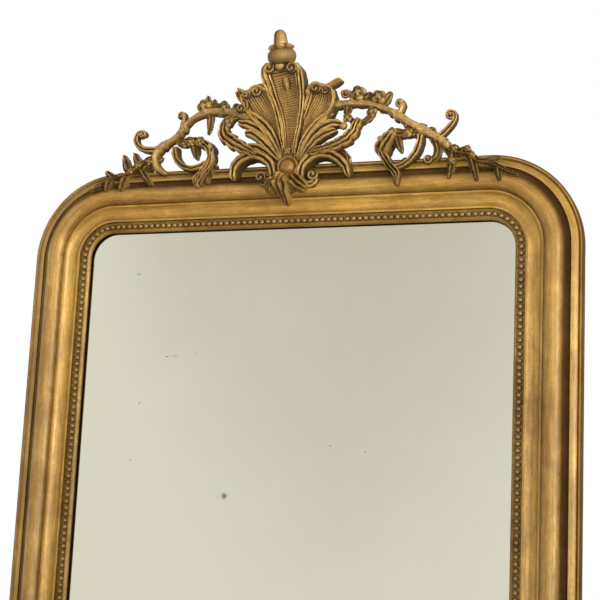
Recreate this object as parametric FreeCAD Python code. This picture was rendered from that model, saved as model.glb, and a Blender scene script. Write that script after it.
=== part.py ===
"""Gilt mirror with rounded top corners, a pearl row and a pierced shell crest.

Millimetres, +Z up, +X to the viewer's right, front towards -Y. The origin is the centre of the frame on the
wall plane, which the back faces of the backboards lie on.
"""
import FreeCAD, Part
import math
import os

Vec = FreeCAD.Vector
UP = Vec(0, 0, 1)
INTO_WALL = Vec(0, 1, 0)
RIGHT = Vec(1, 0, 0)

# Overall frame
FRAME_WIDTH = 800.0
FRAME_HEIGHT = 1300.0
CORNER_RADIUS = 126.0

# Outer moulding, across from the outer edge and up from the chassis
LIP_WIDTH = 5.0
LIP_SIDE = 13.0
LIP_HEIGHT = 15.5
QUIRK_WIDTH = 1.2
QUIRK_HEIGHT = 14.0
BAND_WIDTH = 9.3
BAND_CROWN = 18.0
BAND_HEIGHT = 19.0
COVE_WIDTH = 9.0
COVE_FLOOR = 12.5
TORUS_WIDTH = 26.0
TORUS_HEIGHT = 34.5
TORUS_RISE_SHARE = 0.495

# Inner moulding, pearls and sight slip
CAVETTO_LIP_WIDTH = 2.5
CAVETTO_LIP_HEIGHT = 23.0
CAVETTO_WIDTH = 18.5
CAVETTO_FLOOR = 16.5
FILLET_WIDTH = 2.5
FILLET_HEIGHT = 19.5
PEARL_SEAT_WIDTH = 10.6
PEARL_SEAT_HEIGHT = 14.5
PEARL_WIDTH = 7.6
PEARL_RISE = 5.0
SLIP_WIDTH = 4.6
SLIP_HEIGHT = 16.0
SLIP_CROWN = 15.0
SLIP_EDGE_HEIGHT = 12.2
REBATE_WIDTH = 9.2
GLASS_SEAT = 10.5

# Glass and what holds it
GLASS_THICKNESS = 4.0
GLASS_CLEARANCE = 1.0
BLOCK_WIDTH = 12.0
BLOCK_LENGTH = 45.0
BLOCK_DEPTH = 24.0
SIDE_BLOCK_SHARES = (-0.6, -0.2, 0.2, 0.6)
END_BLOCK_SHARES = (-0.5, 0.0, 0.5)

# Chassis and backboards
CHASSIS_DEPTH = 25.0
CHASSIS_INSET = 8.0
PEG_RADIUS = 4.0
PEG_CLEARANCE = 0.05
PEG_SHARES = ((0.8, 0.5), (0.5, 0.8))
BOARD_THICKNESS = 9.0
BOARD_LAP = 35.0
BOARD_GAP = 1.0
BOARD_SIDES = ("left", "middle", "right")
NAIL_RADIUS = 1.2
NAIL_LENGTH = 26.0
NAIL_HEAD_RADIUS = 3.0
NAIL_HEAD_DEPTH = 1.2
NAIL_CLEARANCE = 0.05
NAIL_SINK = 0.3
NAIL_EDGE = 14.0
NAIL_SHARES = (-0.3, 0.3)
SIDE_NAIL_SHARES = (-0.4, 0.0, 0.4)

# Strap hangers with D-rings
HANGER_HEIGHT = 330.0
HANGER_SETBACK = 27.0
STRAP_WIDTH = 20.0
STRAP_LENGTH = 56.0
STRAP_THICKNESS = 1.2
RING_WIRE_RADIUS = 1.8
RING_CLEARANCE = 0.35
RING_HALF_WIDTH = 13.5
RING_CORNER = 4.0
RING_LEG = 7.0
STRAP_SCREW_SHARES = (0.52, 0.84)

# Wood screws
SCREW_RADIUS = 1.6
SCREW_LENGTH = 26.0
SCREW_HEAD_RADIUS = 3.4
SCREW_HEAD_DEPTH = 2.2
SCREW_SINK = 0.2
SCREW_CLEARANCE = 0.05

# Crest: the sizes that its shares are taken of, and where its pieces seat in front of the chassis
CREST_HALF_SPAN = 315.0
CREST_RISE = 185.0
LEAN_SHARE = 0.17
SHELL_SEAT = 22.0
SCROLL_SEAT = 22.0
BRANCH_SEAT = 14.0
SPRAY_SEAT = 8.0
PALMETTE_SEAT = 18.0
CREST_LIFT = 30.0
LIFT_REACH_SHARE = 0.63
CLIMB_SHARE = 0.55
TIP_DEPTH_SHARE = 0.6
SHOULDER_SHARE = 0.55
BRANCH_GIRTH = 12.0
BRANCH_DEPTH = 14.0
SPRAY_DEPTH = 22.0
SCROLL_GIRTH = 12.5
SCROLL_DEPTH = 24.0
PLUME_GIRTH = 12.0
PLUME_DEPTH = 14.0
PALMETTE_GIRTH = 19.0
PALMETTE_DEPTH = 32.0
EYE_RADIUS = 5.5
EYE_RISE = 2.5
BLOSSOM_RADIUS = 7.0

# Shell lobes
CENTRE_LOBE_WIDTH = 62.0
SIDE_LOBE_WIDTH = 40.0
LOBE_DEPTH = 18.0
VOLUTE_RADIUS = 8.5

# Boss and finial
BOSS_SEAT = 14.0
BOSS_RADIUS = 12.5
BOSS_RIM_HEIGHT = 43.0
BOSS_BEAD = 3.5
BUTTON_RADIUS = 8.5
BUTTON_HEIGHT = 50.0
DOME_SHARE = 0.7
FINIAL_RADIUS = 20.5
FINIAL_HEIGHT = 51.0

# Block and batten that carry the crest
CREST_BLOCK_WIDTH = 44.0
CREST_BLOCK_RISE = 62.0
BATTEN_GAP = 2.0
BATTEN_SCREW_SIDE_SHARE = 0.3
RAIL_SCREW_DROP = 24.0
BLOCK_SCREW_RISE = 36.0

CUT_OVERRUN = 2.0

# Places that follow from the sizes above
FRAME_TOP = FRAME_HEIGHT / 2
FRAME_SIDE = FRAME_WIDTH / 2
QUIRK_END = LIP_WIDTH + QUIRK_WIDTH
BAND_END = QUIRK_END + BAND_WIDTH
COVE_END = BAND_END + COVE_WIDTH
OUTER_END = COVE_END + TORUS_WIDTH
TORUS_SPRING = TORUS_HEIGHT - TORUS_WIDTH * TORUS_RISE_SHARE
CAVETTO_START = OUTER_END + CAVETTO_LIP_WIDTH
CAVETTO_END = CAVETTO_START + CAVETTO_WIDTH
PEARL_START = CAVETTO_END + FILLET_WIDTH
PEARL_END = PEARL_START + PEARL_SEAT_WIDTH
SIGHT_SETBACK = PEARL_END + SLIP_WIDTH
OPENING_SETBACK = SIGHT_SETBACK - REBATE_WIDTH
BOARD_SETBACK = OPENING_SETBACK - BOARD_LAP
GLASS_SETBACK = OPENING_SETBACK + GLASS_CLEARANCE
STILE_WIDTH = OPENING_SETBACK - CHASSIS_INSET
CHASSIS_BACK_Y = -BOARD_THICKNESS
CHASSIS_FRONT_Y = CHASSIS_BACK_Y - CHASSIS_DEPTH
GLASS_BACK_Y = CHASSIS_FRONT_Y - GLASS_SEAT + GLASS_THICKNESS
KNUCKLE_BORE = RING_WIRE_RADIUS + RING_CLEARANCE
KNUCKLE_RADIUS = KNUCKLE_BORE + STRAP_THICKNESS
RING_Y = CHASSIS_BACK_Y + KNUCKLE_RADIUS

# Stations of the crest's limbs: shares of the half span, of the rise and of the girth
SCROLL_LEFT_SHARES = (
    (-0.265, -0.135, 0.65), (-0.265, -0.050, 0.90), (-0.245, 0.005, 1.05), (-0.210, 0.040, 1.05),
    (-0.165, 0.050, 1.05), (-0.120, 0.020, 1.05), (-0.090, -0.030, 1.00), (-0.080, -0.080, 0.90),
    (-0.080, -0.130, 0.80), (-0.098, -0.172, 0.72), (-0.124, -0.172, 0.62), (-0.132, -0.130, 0.55))
SCROLL_RIGHT_SHARES = (
    (0.268, -0.145, 0.65), (0.255, -0.075, 0.90), (0.230, -0.025, 1.05), (0.190, 0.020, 1.05),
    (0.150, 0.035, 1.05), (0.110, 0.025, 1.05), (0.080, -0.010, 1.00), (0.058, -0.060, 0.95),
    (0.052, -0.110, 0.90), (0.060, -0.160, 0.80), (0.082, -0.192, 0.75), (0.108, -0.190, 0.68),
    (0.120, -0.158, 0.60), (0.110, -0.128, 0.55))
STEM_LEFT_SHARES = (
    (-0.190, 0.335, 1.20), (-0.310, 0.410, 1.20), (-0.425, 0.425, 1.00), (-0.518, 0.362, 0.85),
    (-0.573, 0.260, 1.00), (-0.635, 0.200, 0.95), (-0.680, 0.108, 1.00), (-0.662, 0.010, 0.85),
    (-0.618, -0.035, 0.70))
HOOK_LEFT_SHARES = (
    (-0.655, 0.172, 0.85), (-0.720, 0.168, 0.80), (-0.763, 0.198, 0.72), (-0.782, 0.255, 0.64),
    (-0.767, 0.310, 0.58), (-0.742, 0.298, 0.56))
CURL_LEFT_SHARES = ((-0.550, 0.300, 0.95), (-0.547, 0.365, 0.66), (-0.553, 0.422, 0.66))
DROP_LEFT_SHARES = ((-0.408, 0.415, 1.10), (-0.406, 0.330, 0.80), (-0.412, 0.250, 0.25))
VOLUTE_LEFT_SHARES = (
    (-0.580, 0.205, 0.85), (-0.505, 0.218, 1.15), (-0.450, 0.203, 1.40), (-0.410, 0.148, 1.30),
    (-0.402, 0.078, 1.15), (-0.418, 0.005, 1.15), (-0.436, -0.060, 1.20), (-0.446, -0.125, 1.00),
    (-0.432, -0.190, 0.55))
RING_LEFT_SHARES = (
    (-0.584, 0.190, 0.72), (-0.575, 0.095, 0.76), (-0.545, 0.030, 0.76), (-0.502, 0.000, 0.76),
    (-0.455, 0.008, 0.76), (-0.415, 0.048, 0.72))
SPRAY_LEFT_SHARES = (
    (-0.655, 0.110, 1.10), (-0.725, 0.075, 1.20), (-0.790, 0.005, 1.20), (-0.850, -0.040, 1.05),
    (-0.905, -0.060, 0.85), (-0.950, -0.125, 0.70), (-0.988, -0.165, 0.40))
LEAF_LEFT_SHARES = (
    (-0.235, 0.380, 0.90), (-0.318, 0.320, 1.30), (-0.332, 0.245, 1.45), (-0.298, 0.186, 1.55),
    (-0.248, 0.132, 1.45), (-0.160, 0.050, 1.00))
STEM_RIGHT_SHARES = (
    (0.165, 0.400, 1.10), (0.245, 0.410, 1.05), (0.325, 0.412, 1.00), (0.440, 0.348, 0.88),
    (0.530, 0.252, 1.05), (0.610, 0.176, 1.15), (0.655, 0.132, 1.05), (0.700, 0.060, 0.95))
HOOK_RIGHT_SHARES = (
    (0.628, 0.120, 0.78), (0.670, 0.165, 0.72), (0.701, 0.220, 0.66), (0.721, 0.275, 0.60),
    (0.714, 0.322, 0.56), (0.690, 0.322, 0.56))
FOOT_RIGHT_SHARES = (
    (0.614, 0.165, 0.85), (0.648, 0.070, 0.80), (0.642, -0.005, 0.76), (0.606, -0.034, 0.64))
RINGLET_RIGHT_SHARES = (
    (0.264, 0.425, 0.85), (0.252, 0.345, 0.90), (0.272, 0.282, 0.86), (0.312, 0.268, 0.84),
    (0.349, 0.302, 0.86), (0.364, 0.390, 0.90))
TOP_CURL_RIGHT_SHARES = ((0.278, 0.410, 0.90), (0.266, 0.470, 0.66), (0.246, 0.492, 0.62))
CURL_RIGHT_SHARES = ((0.474, 0.310, 1.00), (0.488, 0.360, 0.74), (0.495, 0.402, 0.74))
VOLUTE_RIGHT_SHARES = (
    (0.590, 0.188, 0.95), (0.510, 0.190, 1.10), (0.452, 0.188, 1.30), (0.408, 0.140, 1.50),
    (0.402, 0.055, 1.35), (0.428, -0.030, 1.20), (0.462, -0.100, 1.25), (0.488, -0.170, 1.00),
    (0.486, -0.240, 0.50))
BARB_RIGHT_SHARES = ((0.402, 0.140, 1.20), (0.384, 0.075, 0.95), (0.372, 0.010, 0.30))
RING_RIGHT_SHARES = (
    (0.574, 0.182, 0.80), (0.566, 0.090, 0.80), (0.542, 0.005, 0.80), (0.500, -0.056, 0.80),
    (0.450, -0.080, 0.76))
SPRAY_RIGHT_SHARES = (
    (0.660, 0.125, 1.10), (0.715, 0.030, 1.20), (0.780, 0.005, 1.20), (0.825, -0.060, 1.15),
    (0.885, -0.085, 1.00), (0.940, -0.145, 0.85), (1.005, -0.190, 0.40))
LEAF_RIGHT_SHARES = (
    (0.085, 0.030, 1.00), (0.180, 0.074, 1.20), (0.232, 0.112, 1.35), (0.272, 0.166, 1.32),
    (0.294, 0.230, 1.15), (0.308, 0.300, 0.95))
PLUME_LEFT_SHARES = (
    ((-0.055, 0.010, 0.60), (-0.100, 0.210, 0.95), (-0.140, 0.290, 1.15), (-0.195, 0.350, 1.20),
     (-0.258, 0.415, 0.90)),
    ((-0.050, 0.000, 0.70), (-0.125, 0.160, 1.10), (-0.185, 0.250, 1.30), (-0.256, 0.305, 0.90)),
    ((-0.050, -0.020, 0.80), (-0.105, 0.060, 1.10), (-0.160, 0.135, 1.25), (-0.228, 0.185, 0.85)))
PLUME_RIGHT_SHARES = (
    ((0.030, 0.000, 0.75), (0.078, 0.140, 1.15), (0.118, 0.203, 1.40), (0.165, 0.240, 1.35),
     (0.210, 0.252, 0.90), (0.246, 0.242, 0.55)),
    ((0.030, 0.020, 0.60), (0.065, 0.165, 0.90), (0.108, 0.258, 1.00), (0.152, 0.315, 0.90),
     (0.190, 0.345, 0.50)))
RIM_LEFT_SHARES = (
    (-0.110, 0.535, 0.75), (-0.160, 0.560, 0.80), (-0.195, 0.538, 0.75), (-0.232, 0.556, 0.72),
    (-0.250, 0.525, 0.70), (-0.228, 0.468, 0.75), (-0.205, 0.425, 0.80))
RIM_RIGHT_SHARES = (
    (0.080, 0.475, 0.75), (0.100, 0.535, 0.80), (0.133, 0.552, 0.80), (0.166, 0.530, 0.80),
    (0.203, 0.550, 0.76), (0.240, 0.574, 0.58))
PALMETTE_SHARES = (
    ((-0.010, -0.110, 0.80), (-0.010, -0.225, 1.05), (-0.010, -0.355, 0.22)),
    ((-0.018, -0.120, 0.70), (-0.048, -0.205, 0.90), (-0.056, -0.285, 0.40)),
    ((0.002, -0.120, 0.70), (0.034, -0.205, 0.90), (0.042, -0.285, 0.40)),
    ((-0.030, -0.120, 0.70), (-0.078, -0.188, 0.80), (-0.108, -0.245, 0.40)),
    ((0.020, -0.120, 0.70), (0.064, -0.192, 0.80), (0.096, -0.252, 0.40)))
SPRAY_LEAF_LEFT_SHARES = (
    ((-0.820, 0.000), (-0.853, 0.155)), ((-0.765, 0.035), (-0.798, 0.165)),
    ((-0.830, -0.030), (-0.825, -0.185)), ((-0.760, 0.020), (-0.688, -0.125)),
    ((-0.890, -0.050), (-0.942, 0.025)), ((-0.905, -0.060), (-0.897, -0.180)))
SPRAY_LEAF_RIGHT_SHARES = (
    ((0.710, 0.050), (0.714, -0.205)), ((0.790, 0.000), (0.835, -0.230)),
    ((0.745, 0.010), (0.778, 0.090)), ((0.850, -0.075), (0.922, -0.028)),
    ((0.915, -0.110), (0.930, -0.232)))
LEAF_GIRTH_SHARES = (0.95, 0.95, 0.32)
BLOSSOM_LEFT_SHARES = ((-0.432, 0.482), (-0.385, 0.478), (-0.335, 0.462), (-0.415, 0.522), (-0.248, 0.445))
BLOSSOM_RIGHT_SHARES = ((0.298, 0.478), (0.345, 0.470), (0.388, 0.438), (0.425, 0.446))

# Lobes of the shell: shares of the half span, of the rise, of the lobe's width and of its depth
CENTRE_LOBE_SHARES = (
    (-0.012, -0.010, 0.24, 0.85), (-0.013, 0.210, 0.39, 0.90), (-0.014, 0.378, 0.60, 0.95),
    (-0.020, 0.500, 0.79, 1.00), (-0.025, 0.605, 0.93, 1.10), (-0.028, 0.680, 0.96, 1.30),
    (-0.030, 0.722, 0.66, 1.25))
LEFT_LOBE_SHARES = (
    (-0.030, -0.005, 0.30, 0.80), (-0.088, 0.216, 0.55, 0.85), (-0.124, 0.350, 0.90, 0.90),
    (-0.156, 0.460, 1.12, 1.00), (-0.176, 0.535, 1.00, 1.15))
RIGHT_LOBE_SHARES = (
    (0.010, -0.005, 0.27, 0.80), (0.060, 0.216, 0.50, 0.85), (0.097, 0.335, 0.82, 0.90),
    (0.132, 0.440, 1.08, 1.00), (0.150, 0.525, 0.94, 1.15))
LOBE_SECTION_SHARES = (
    (-1.0, 0.0), (-1.0, 0.7), (-0.86, 1.0), (-0.66, 0.62), (-0.12, 0.5), (0.0, 0.72),
    (0.12, 0.5), (0.66, 0.62), (0.86, 1.0), (1.0, 0.7), (1.0, 0.0))
VOLUTE_EYE_SHARES = ((-0.095, 0.680), (0.025, 0.670))
BOSS_SHARE = (0.0, -0.06)
FINIAL_SHARE = (-0.043, 0.710)
FINIAL_DEPTH_SHARE = 0.7
FINIAL_OUTLINE_SHARES = (
    ((0.62, 0.0),), ((1.0, 0.22), (0.68, 0.40)), ((0.92, 0.50),), ((0.76, 0.58), (0.46, 0.60)),
    ((0.48, 0.84), (0.0, 1.0)))
CREST_BLOCK_SHARE = -0.015

solids = {}


def keep(name, shape):
    """Write one named piece to its own file."""
    solids[name] = shape
    shape.exportStep("parts/" + name + ".step")


def section_point(across, height):
    """Point of a moulding's section: across from the outer edge, up from the chassis."""
    return Vec(across, CHASSIS_FRONT_Y - height, 0)


def section_face(start, steps):
    """Closed section; a step is a corner, or a point on an arc and the arc's end."""
    first = section_point(*start)
    here = first
    edges = []
    for step in steps:
        end = section_point(*step[-1])
        if len(step) > 1:
            edges.append(Part.Arc(here, section_point(*step[0]), end).toShape())
        else:
            edges.append(Part.makeLine(here, end))
        here = end
    edges.append(Part.makeLine(here, first))
    return Part.Face(Part.Wire(edges))


def outer_section():
    """Lip, quirk, sloped band, cove and large torus."""
    return section_face((0, 0), (
        ((0, LIP_SIDE),),
        ((LIP_WIDTH / 2, LIP_HEIGHT), (LIP_WIDTH, QUIRK_HEIGHT)),
        ((QUIRK_END, QUIRK_HEIGHT),),
        (((QUIRK_END + BAND_END) / 2, BAND_CROWN), (BAND_END, BAND_HEIGHT)),
        (((BAND_END + COVE_END) / 2, COVE_FLOOR), (COVE_END, TORUS_SPRING)),
        (((COVE_END + OUTER_END) / 2, TORUS_HEIGHT), (OUTER_END, TORUS_SPRING)),
        ((OUTER_END, 0),)))


def inner_section():
    """Lip, hollow cavetto, fillet and pearl seat, rebated for the glass."""
    return section_face((OUTER_END, 0), (
        ((OUTER_END, CAVETTO_LIP_HEIGHT),),
        ((CAVETTO_START, CAVETTO_LIP_HEIGHT),),
        (((CAVETTO_START + CAVETTO_END) / 2, CAVETTO_FLOOR), (CAVETTO_END, FILLET_HEIGHT)),
        ((PEARL_START, FILLET_HEIGHT),),
        ((PEARL_START, PEARL_SEAT_HEIGHT),),
        ((PEARL_END, PEARL_SEAT_HEIGHT),),
        ((PEARL_END, GLASS_SEAT),),
        ((OPENING_SETBACK, GLASS_SEAT),),
        ((OPENING_SETBACK, 0),)))


def pearl_section():
    """Half-round strip in the middle of the pearl seat."""
    middle = (PEARL_START + PEARL_END) / 2
    near = middle - PEARL_WIDTH / 2
    far = middle + PEARL_WIDTH / 2
    return section_face((near, PEARL_SEAT_HEIGHT), (
        ((middle, PEARL_SEAT_HEIGHT + PEARL_RISE), (far, PEARL_SEAT_HEIGHT)),))


def slip_section():
    """Sight slip that falls towards the glass."""
    return section_face((PEARL_END, GLASS_SEAT), (
        ((PEARL_END, SLIP_HEIGHT),),
        (((PEARL_END + SIGHT_SETBACK) / 2, SLIP_CROWN), (SIGHT_SETBACK, SLIP_EDGE_HEIGHT)),
        ((SIGHT_SETBACK, GLASS_SEAT),)))


def mitre_wedge(length, at_end):
    """Wedge that a 45 degree mitre takes off the start or the end of a run."""
    reach = SIGHT_SETBACK + CUT_OVERRUN
    low_y = CHASSIS_FRONT_Y - TORUS_HEIGHT - CUT_OVERRUN
    corners = [(-CUT_OVERRUN, -CUT_OVERRUN), (reach, -CUT_OVERRUN), (reach, reach)]
    if at_end:
        corners = [(across, length - along) for across, along in corners]
    points = [Vec(across, low_y, along) for across, along in corners]
    depth = TORUS_HEIGHT + 2 * CUT_OVERRUN
    return Part.Face(Part.makePolygon(points + points[:1])).extrude(INTO_WALL * depth)


def moulding_run(face, length, mitre_start, mitre_end):
    """Section carried along a straight run, mitred where asked."""
    run = face.extrude(UP * length)
    if mitre_start:
        run = run.cut(mitre_wedge(length, False))
    if mitre_end:
        run = run.cut(mitre_wedge(length, True))
    return run


def set_round(shape, quarter_turns, x, z):
    """Turn a run clockwise round the frame, as seen from the front, and set its start."""
    turned = shape.copy()
    turned.rotate(Vec(0, 0, 0), INTO_WALL, 90 * quarter_turns)
    turned.translate(Vec(x, 0, z))
    return turned


def frame_moulding(name, face):
    """The six runs of one moulding: four sides and the two round top corners."""
    side = FRAME_HEIGHT - CORNER_RADIUS
    top = FRAME_WIDTH - 2 * CORNER_RADIUS
    corner = face.revolve(Vec(CORNER_RADIUS, 0, 0), INTO_WALL, 90)
    start = FRAME_TOP - CORNER_RADIUS
    keep(name + "_left", set_round(moulding_run(face, side, True, False), 0, -FRAME_SIDE, -FRAME_TOP))
    keep(name + "_corner_left", set_round(corner, 0, -FRAME_SIDE, start))
    keep(name + "_top", set_round(moulding_run(face, top, False, False), 1, -top / 2, FRAME_TOP))
    keep(name + "_corner_right", set_round(corner, 1, top / 2, FRAME_TOP))
    keep(name + "_right", set_round(moulding_run(face, side, False, True), 2, FRAME_SIDE, start))
    keep(name + "_bottom", set_round(moulding_run(face, FRAME_WIDTH, True, True), 3, FRAME_SIDE, -FRAME_TOP))


def arched_plate(setback, back_y, thickness):
    """Plate with round top corners, set in from the frame's outer edge."""
    x = FRAME_SIDE - setback
    z = FRAME_TOP - setback
    bend = CORNER_RADIUS - setback
    knee = bend - bend / math.sqrt(2)
    corners = [Vec(-x, back_y, -z), Vec(-x, back_y, z - bend), Vec(-x + bend, back_y, z),
               Vec(x - bend, back_y, z), Vec(x, back_y, z - bend), Vec(x, back_y, -z)]
    edges = [Part.makeLine(corners[0], corners[1]),
             Part.Arc(corners[1], Vec(-x + knee, back_y, z - knee), corners[2]).toShape(),
             Part.makeLine(corners[2], corners[3]),
             Part.Arc(corners[3], Vec(x - knee, back_y, z - knee), corners[4]).toShape(),
             Part.makeLine(corners[4], corners[5]),
             Part.makeLine(corners[5], corners[0])]
    return Part.Face(Part.Wire(edges)).extrude(INTO_WALL * -thickness)


def box_between(low_x, high_x, low_y, high_y, low_z, high_z):
    """Box from its two corners."""
    return Part.makeBox(high_x - low_x, high_y - low_y, high_z - low_z, Vec(low_x, low_y, low_z))


def dowel(x, z, radius, front_y, back_y):
    """Round bar square to the wall."""
    return Part.makeCylinder(radius, back_y - front_y, Vec(x, front_y, z), INTO_WALL)


def screw(x, z, head_y, spare=0.0):
    """Countersunk wood screw, or with spare its hole; the head faces the wall."""
    neck_y = head_y - SCREW_HEAD_DEPTH
    head = Part.makeCone(SCREW_RADIUS + spare, SCREW_HEAD_RADIUS + spare, SCREW_HEAD_DEPTH,
                         Vec(x, neck_y, z), INTO_WALL)
    return head.fuse(dowel(x, z, SCREW_RADIUS + spare, head_y - SCREW_LENGTH - spare, neck_y))


def nail(x, z, spare=0.0):
    """Flat-headed nail driven in from the back, or with spare its hole."""
    head_y = -NAIL_SINK
    neck_y = head_y - NAIL_HEAD_DEPTH
    head = dowel(x, z, NAIL_HEAD_RADIUS + spare, neck_y, head_y)
    return head.fuse(dowel(x, z, NAIL_RADIUS + spare, head_y - NAIL_LENGTH - spare, neck_y))


def cut_all(shape, tools):
    """Cut a shape by every tool that comes near it."""
    near = [tool for tool in tools if shape.BoundBox.intersect(tool.BoundBox)]
    return shape.cut(near) if near else shape


def peg_places():
    """Two peg centres in each half-lapped corner."""
    places = []
    for side in (-1, 1):
        for end in (-1, 1):
            for across_share, along_share in PEG_SHARES:
                x = FRAME_SIDE - CHASSIS_INSET - STILE_WIDTH * across_share
                z = FRAME_TOP - CHASSIS_INSET - STILE_WIDTH * along_share
                places.append((side * x, end * z))
    return places


def nail_places():
    """Nails along the ends of each board and down the outer boards' long edges."""
    edge_z = FRAME_TOP - BOARD_SETBACK - NAIL_EDGE
    edge_x = FRAME_SIDE - BOARD_SETBACK - NAIL_EDGE
    pitch = board_pitch()
    places = []
    for step in (-1, 0, 1):
        for share in NAIL_SHARES:
            x = pitch * (step + share)
            places.extend([(x, -edge_z), (x, edge_z)])
    for share in SIDE_NAIL_SHARES:
        z = FRAME_HEIGHT * share
        places.extend([(-edge_x, z), (edge_x, z)])
    return places


def board_pitch():
    """Distance between the middles of two backboards."""
    return (FRAME_WIDTH - 2 * BOARD_SETBACK + BOARD_GAP) / len(BOARD_SIDES)


def hanger_places():
    """Centres of the two ring hinges."""
    return {"left": -(FRAME_SIDE - HANGER_SETBACK), "right": FRAME_SIDE - HANGER_SETBACK}


def strap_screw_places():
    """Two screws down the middle of each strap."""
    return [(x, HANGER_HEIGHT - STRAP_LENGTH * share)
            for x in hanger_places().values() for share in STRAP_SCREW_SHARES]


def batten_screw_places():
    """Two screws into the top rail and two into the crest block."""
    middle = CREST_HALF_SPAN * CREST_BLOCK_SHARE
    offset = CREST_BLOCK_WIDTH * BATTEN_SCREW_SIDE_SHARE
    return [(middle + side * offset, z) for side in (-1, 1)
            for z in (FRAME_TOP - RAIL_SCREW_DROP, FRAME_TOP + BLOCK_SCREW_RISE)]


def all_screws(spare=0.0):
    """Every wood screw, or with spare every screw hole."""
    strap_y = CHASSIS_BACK_Y + STRAP_THICKNESS - SCREW_SINK
    straps = [screw(x, z, strap_y, spare) for x, z in strap_screw_places()]
    return straps + [screw(x, z, -SCREW_SINK, spare) for x, z in batten_screw_places()]


def make_chassis(holes):
    """Half-lapped pine stiles and rails, pegged at the corners."""
    outline = arched_plate(CHASSIS_INSET, CHASSIS_BACK_Y, CHASSIS_DEPTH)
    half_y = (CHASSIS_FRONT_Y + CHASSIS_BACK_Y) / 2
    side = FRAME_SIDE - CHASSIS_INSET
    end = FRAME_TOP - CHASSIS_INSET
    inner_x = FRAME_SIDE - OPENING_SETBACK
    inner_z = FRAME_TOP - OPENING_SETBACK
    pegs = [dowel(x, z, PEG_RADIUS, CHASSIS_FRONT_Y, CHASSIS_BACK_Y) for x, z in peg_places()]
    bore_radius = PEG_RADIUS + PEG_CLEARANCE
    bores = [dowel(x, z, bore_radius, CHASSIS_FRONT_Y, CHASSIS_BACK_Y) for x, z in peg_places()]
    for name, low_x, high_x in (("left", -side, -inner_x), ("right", inner_x, side)):
        stile = box_between(low_x, high_x, half_y, CHASSIS_BACK_Y, -end, end)
        stile = stile.fuse(box_between(low_x, high_x, CHASSIS_FRONT_Y, half_y, -inner_z, inner_z))
        keep("chassis_" + name + "_stile", cut_all(stile.common(outline), bores + holes))
    for name, low_z, high_z in (("bottom", -end, -inner_z), ("top", inner_z, end)):
        rail = box_between(-side, side, CHASSIS_FRONT_Y, half_y, low_z, high_z)
        rail = rail.fuse(box_between(-inner_x, inner_x, half_y, CHASSIS_BACK_Y, low_z, high_z))
        keep("chassis_" + name + "_rail", cut_all(rail.common(outline), bores + holes))
    keep("corner_pegs", Part.makeCompound(pegs))


def make_glass():
    """Mirror plate in its rebate and the blocks glued behind it."""
    keep("mirror_plate", arched_plate(GLASS_SETBACK, GLASS_BACK_Y, GLASS_THICKNESS))
    side = FRAME_SIDE - OPENING_SETBACK
    end = FRAME_TOP - OPENING_SETBACK
    back_y = GLASS_BACK_Y + BLOCK_DEPTH
    half = BLOCK_LENGTH / 2
    blocks = []
    for share in SIDE_BLOCK_SHARES:
        z = end * share
        blocks.append(box_between(-side, BLOCK_WIDTH - side, GLASS_BACK_Y, back_y, z - half, z + half))
        blocks.append(box_between(side - BLOCK_WIDTH, side, GLASS_BACK_Y, back_y, z - half, z + half))
    for share in END_BLOCK_SHARES:
        x = side * share
        blocks.append(box_between(x - half, x + half, GLASS_BACK_Y, back_y, -end, BLOCK_WIDTH - end))
        blocks.append(box_between(x - half, x + half, GLASS_BACK_Y, back_y, end - BLOCK_WIDTH, end))
    keep("glass_blocks", Part.makeCompound(blocks))


def make_backboards():
    """Three upright pine boards and their nails."""
    holes = [nail(x, z, NAIL_CLEARANCE) for x, z in nail_places()]
    pitch = board_pitch()
    half = (pitch - BOARD_GAP) / 2
    end = FRAME_TOP - BOARD_SETBACK
    for step, name in enumerate(BOARD_SIDES):
        x = pitch * (step - 1)
        board = box_between(x - half, x + half, CHASSIS_BACK_Y, 0, -end, end)
        keep("backboard_" + name, cut_all(board, holes))
    keep("backboard_nails", Part.makeCompound([nail(x, z) for x, z in nail_places()]))


def strap(x, holes):
    """Folded strap with a knuckle for the ring's bar."""
    half = STRAP_WIDTH / 2
    plate = box_between(x - half, x + half, CHASSIS_BACK_Y, CHASSIS_BACK_Y + STRAP_THICKNESS,
                        HANGER_HEIGHT - STRAP_LENGTH, HANGER_HEIGHT)
    barrel = Part.makeCylinder(KNUCKLE_RADIUS, STRAP_WIDTH, Vec(x - half, RING_Y, HANGER_HEIGHT), RIGHT)
    bore = Part.makeCylinder(KNUCKLE_BORE, STRAP_WIDTH, Vec(x - half, RING_Y, HANGER_HEIGHT), RIGHT)
    return cut_all(plate.fuse(barrel).cut(bore), holes)


def ring(x):
    """D-ring of round wire that hangs from its straight bar."""
    half = RING_HALF_WIDTH
    bend = RING_CORNER
    knee = bend - bend / math.sqrt(2)
    foot = -(bend + RING_LEG)

    def at(across, rise):
        return Vec(x + across, RING_Y, HANGER_HEIGHT + rise)

    edges = [Part.makeLine(at(bend - half, 0), at(half - bend, 0)),
             Part.Arc(at(half - bend, 0), at(half - knee, -knee), at(half, -bend)).toShape(),
             Part.makeLine(at(half, -bend), at(half, foot)),
             Part.Arc(at(half, foot), at(0, foot - half), at(-half, foot)).toShape(),
             Part.makeLine(at(-half, foot), at(-half, -bend)),
             Part.Arc(at(-half, -bend), at(knee - half, -knee), at(bend - half, 0)).toShape()]
    wire = Part.Wire([Part.makeCircle(RING_WIRE_RADIUS, at(bend - half, 0), RIGHT)])
    return Part.Wire(edges).makePipeShell([wire], True, False)


def make_hangers(holes):
    """Strap hangers on the backs of the stiles."""
    for name, x in hanger_places().items():
        keep("hanger_strap_" + name, strap(x, holes))
        keep("hanger_ring_" + name, ring(x))


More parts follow.
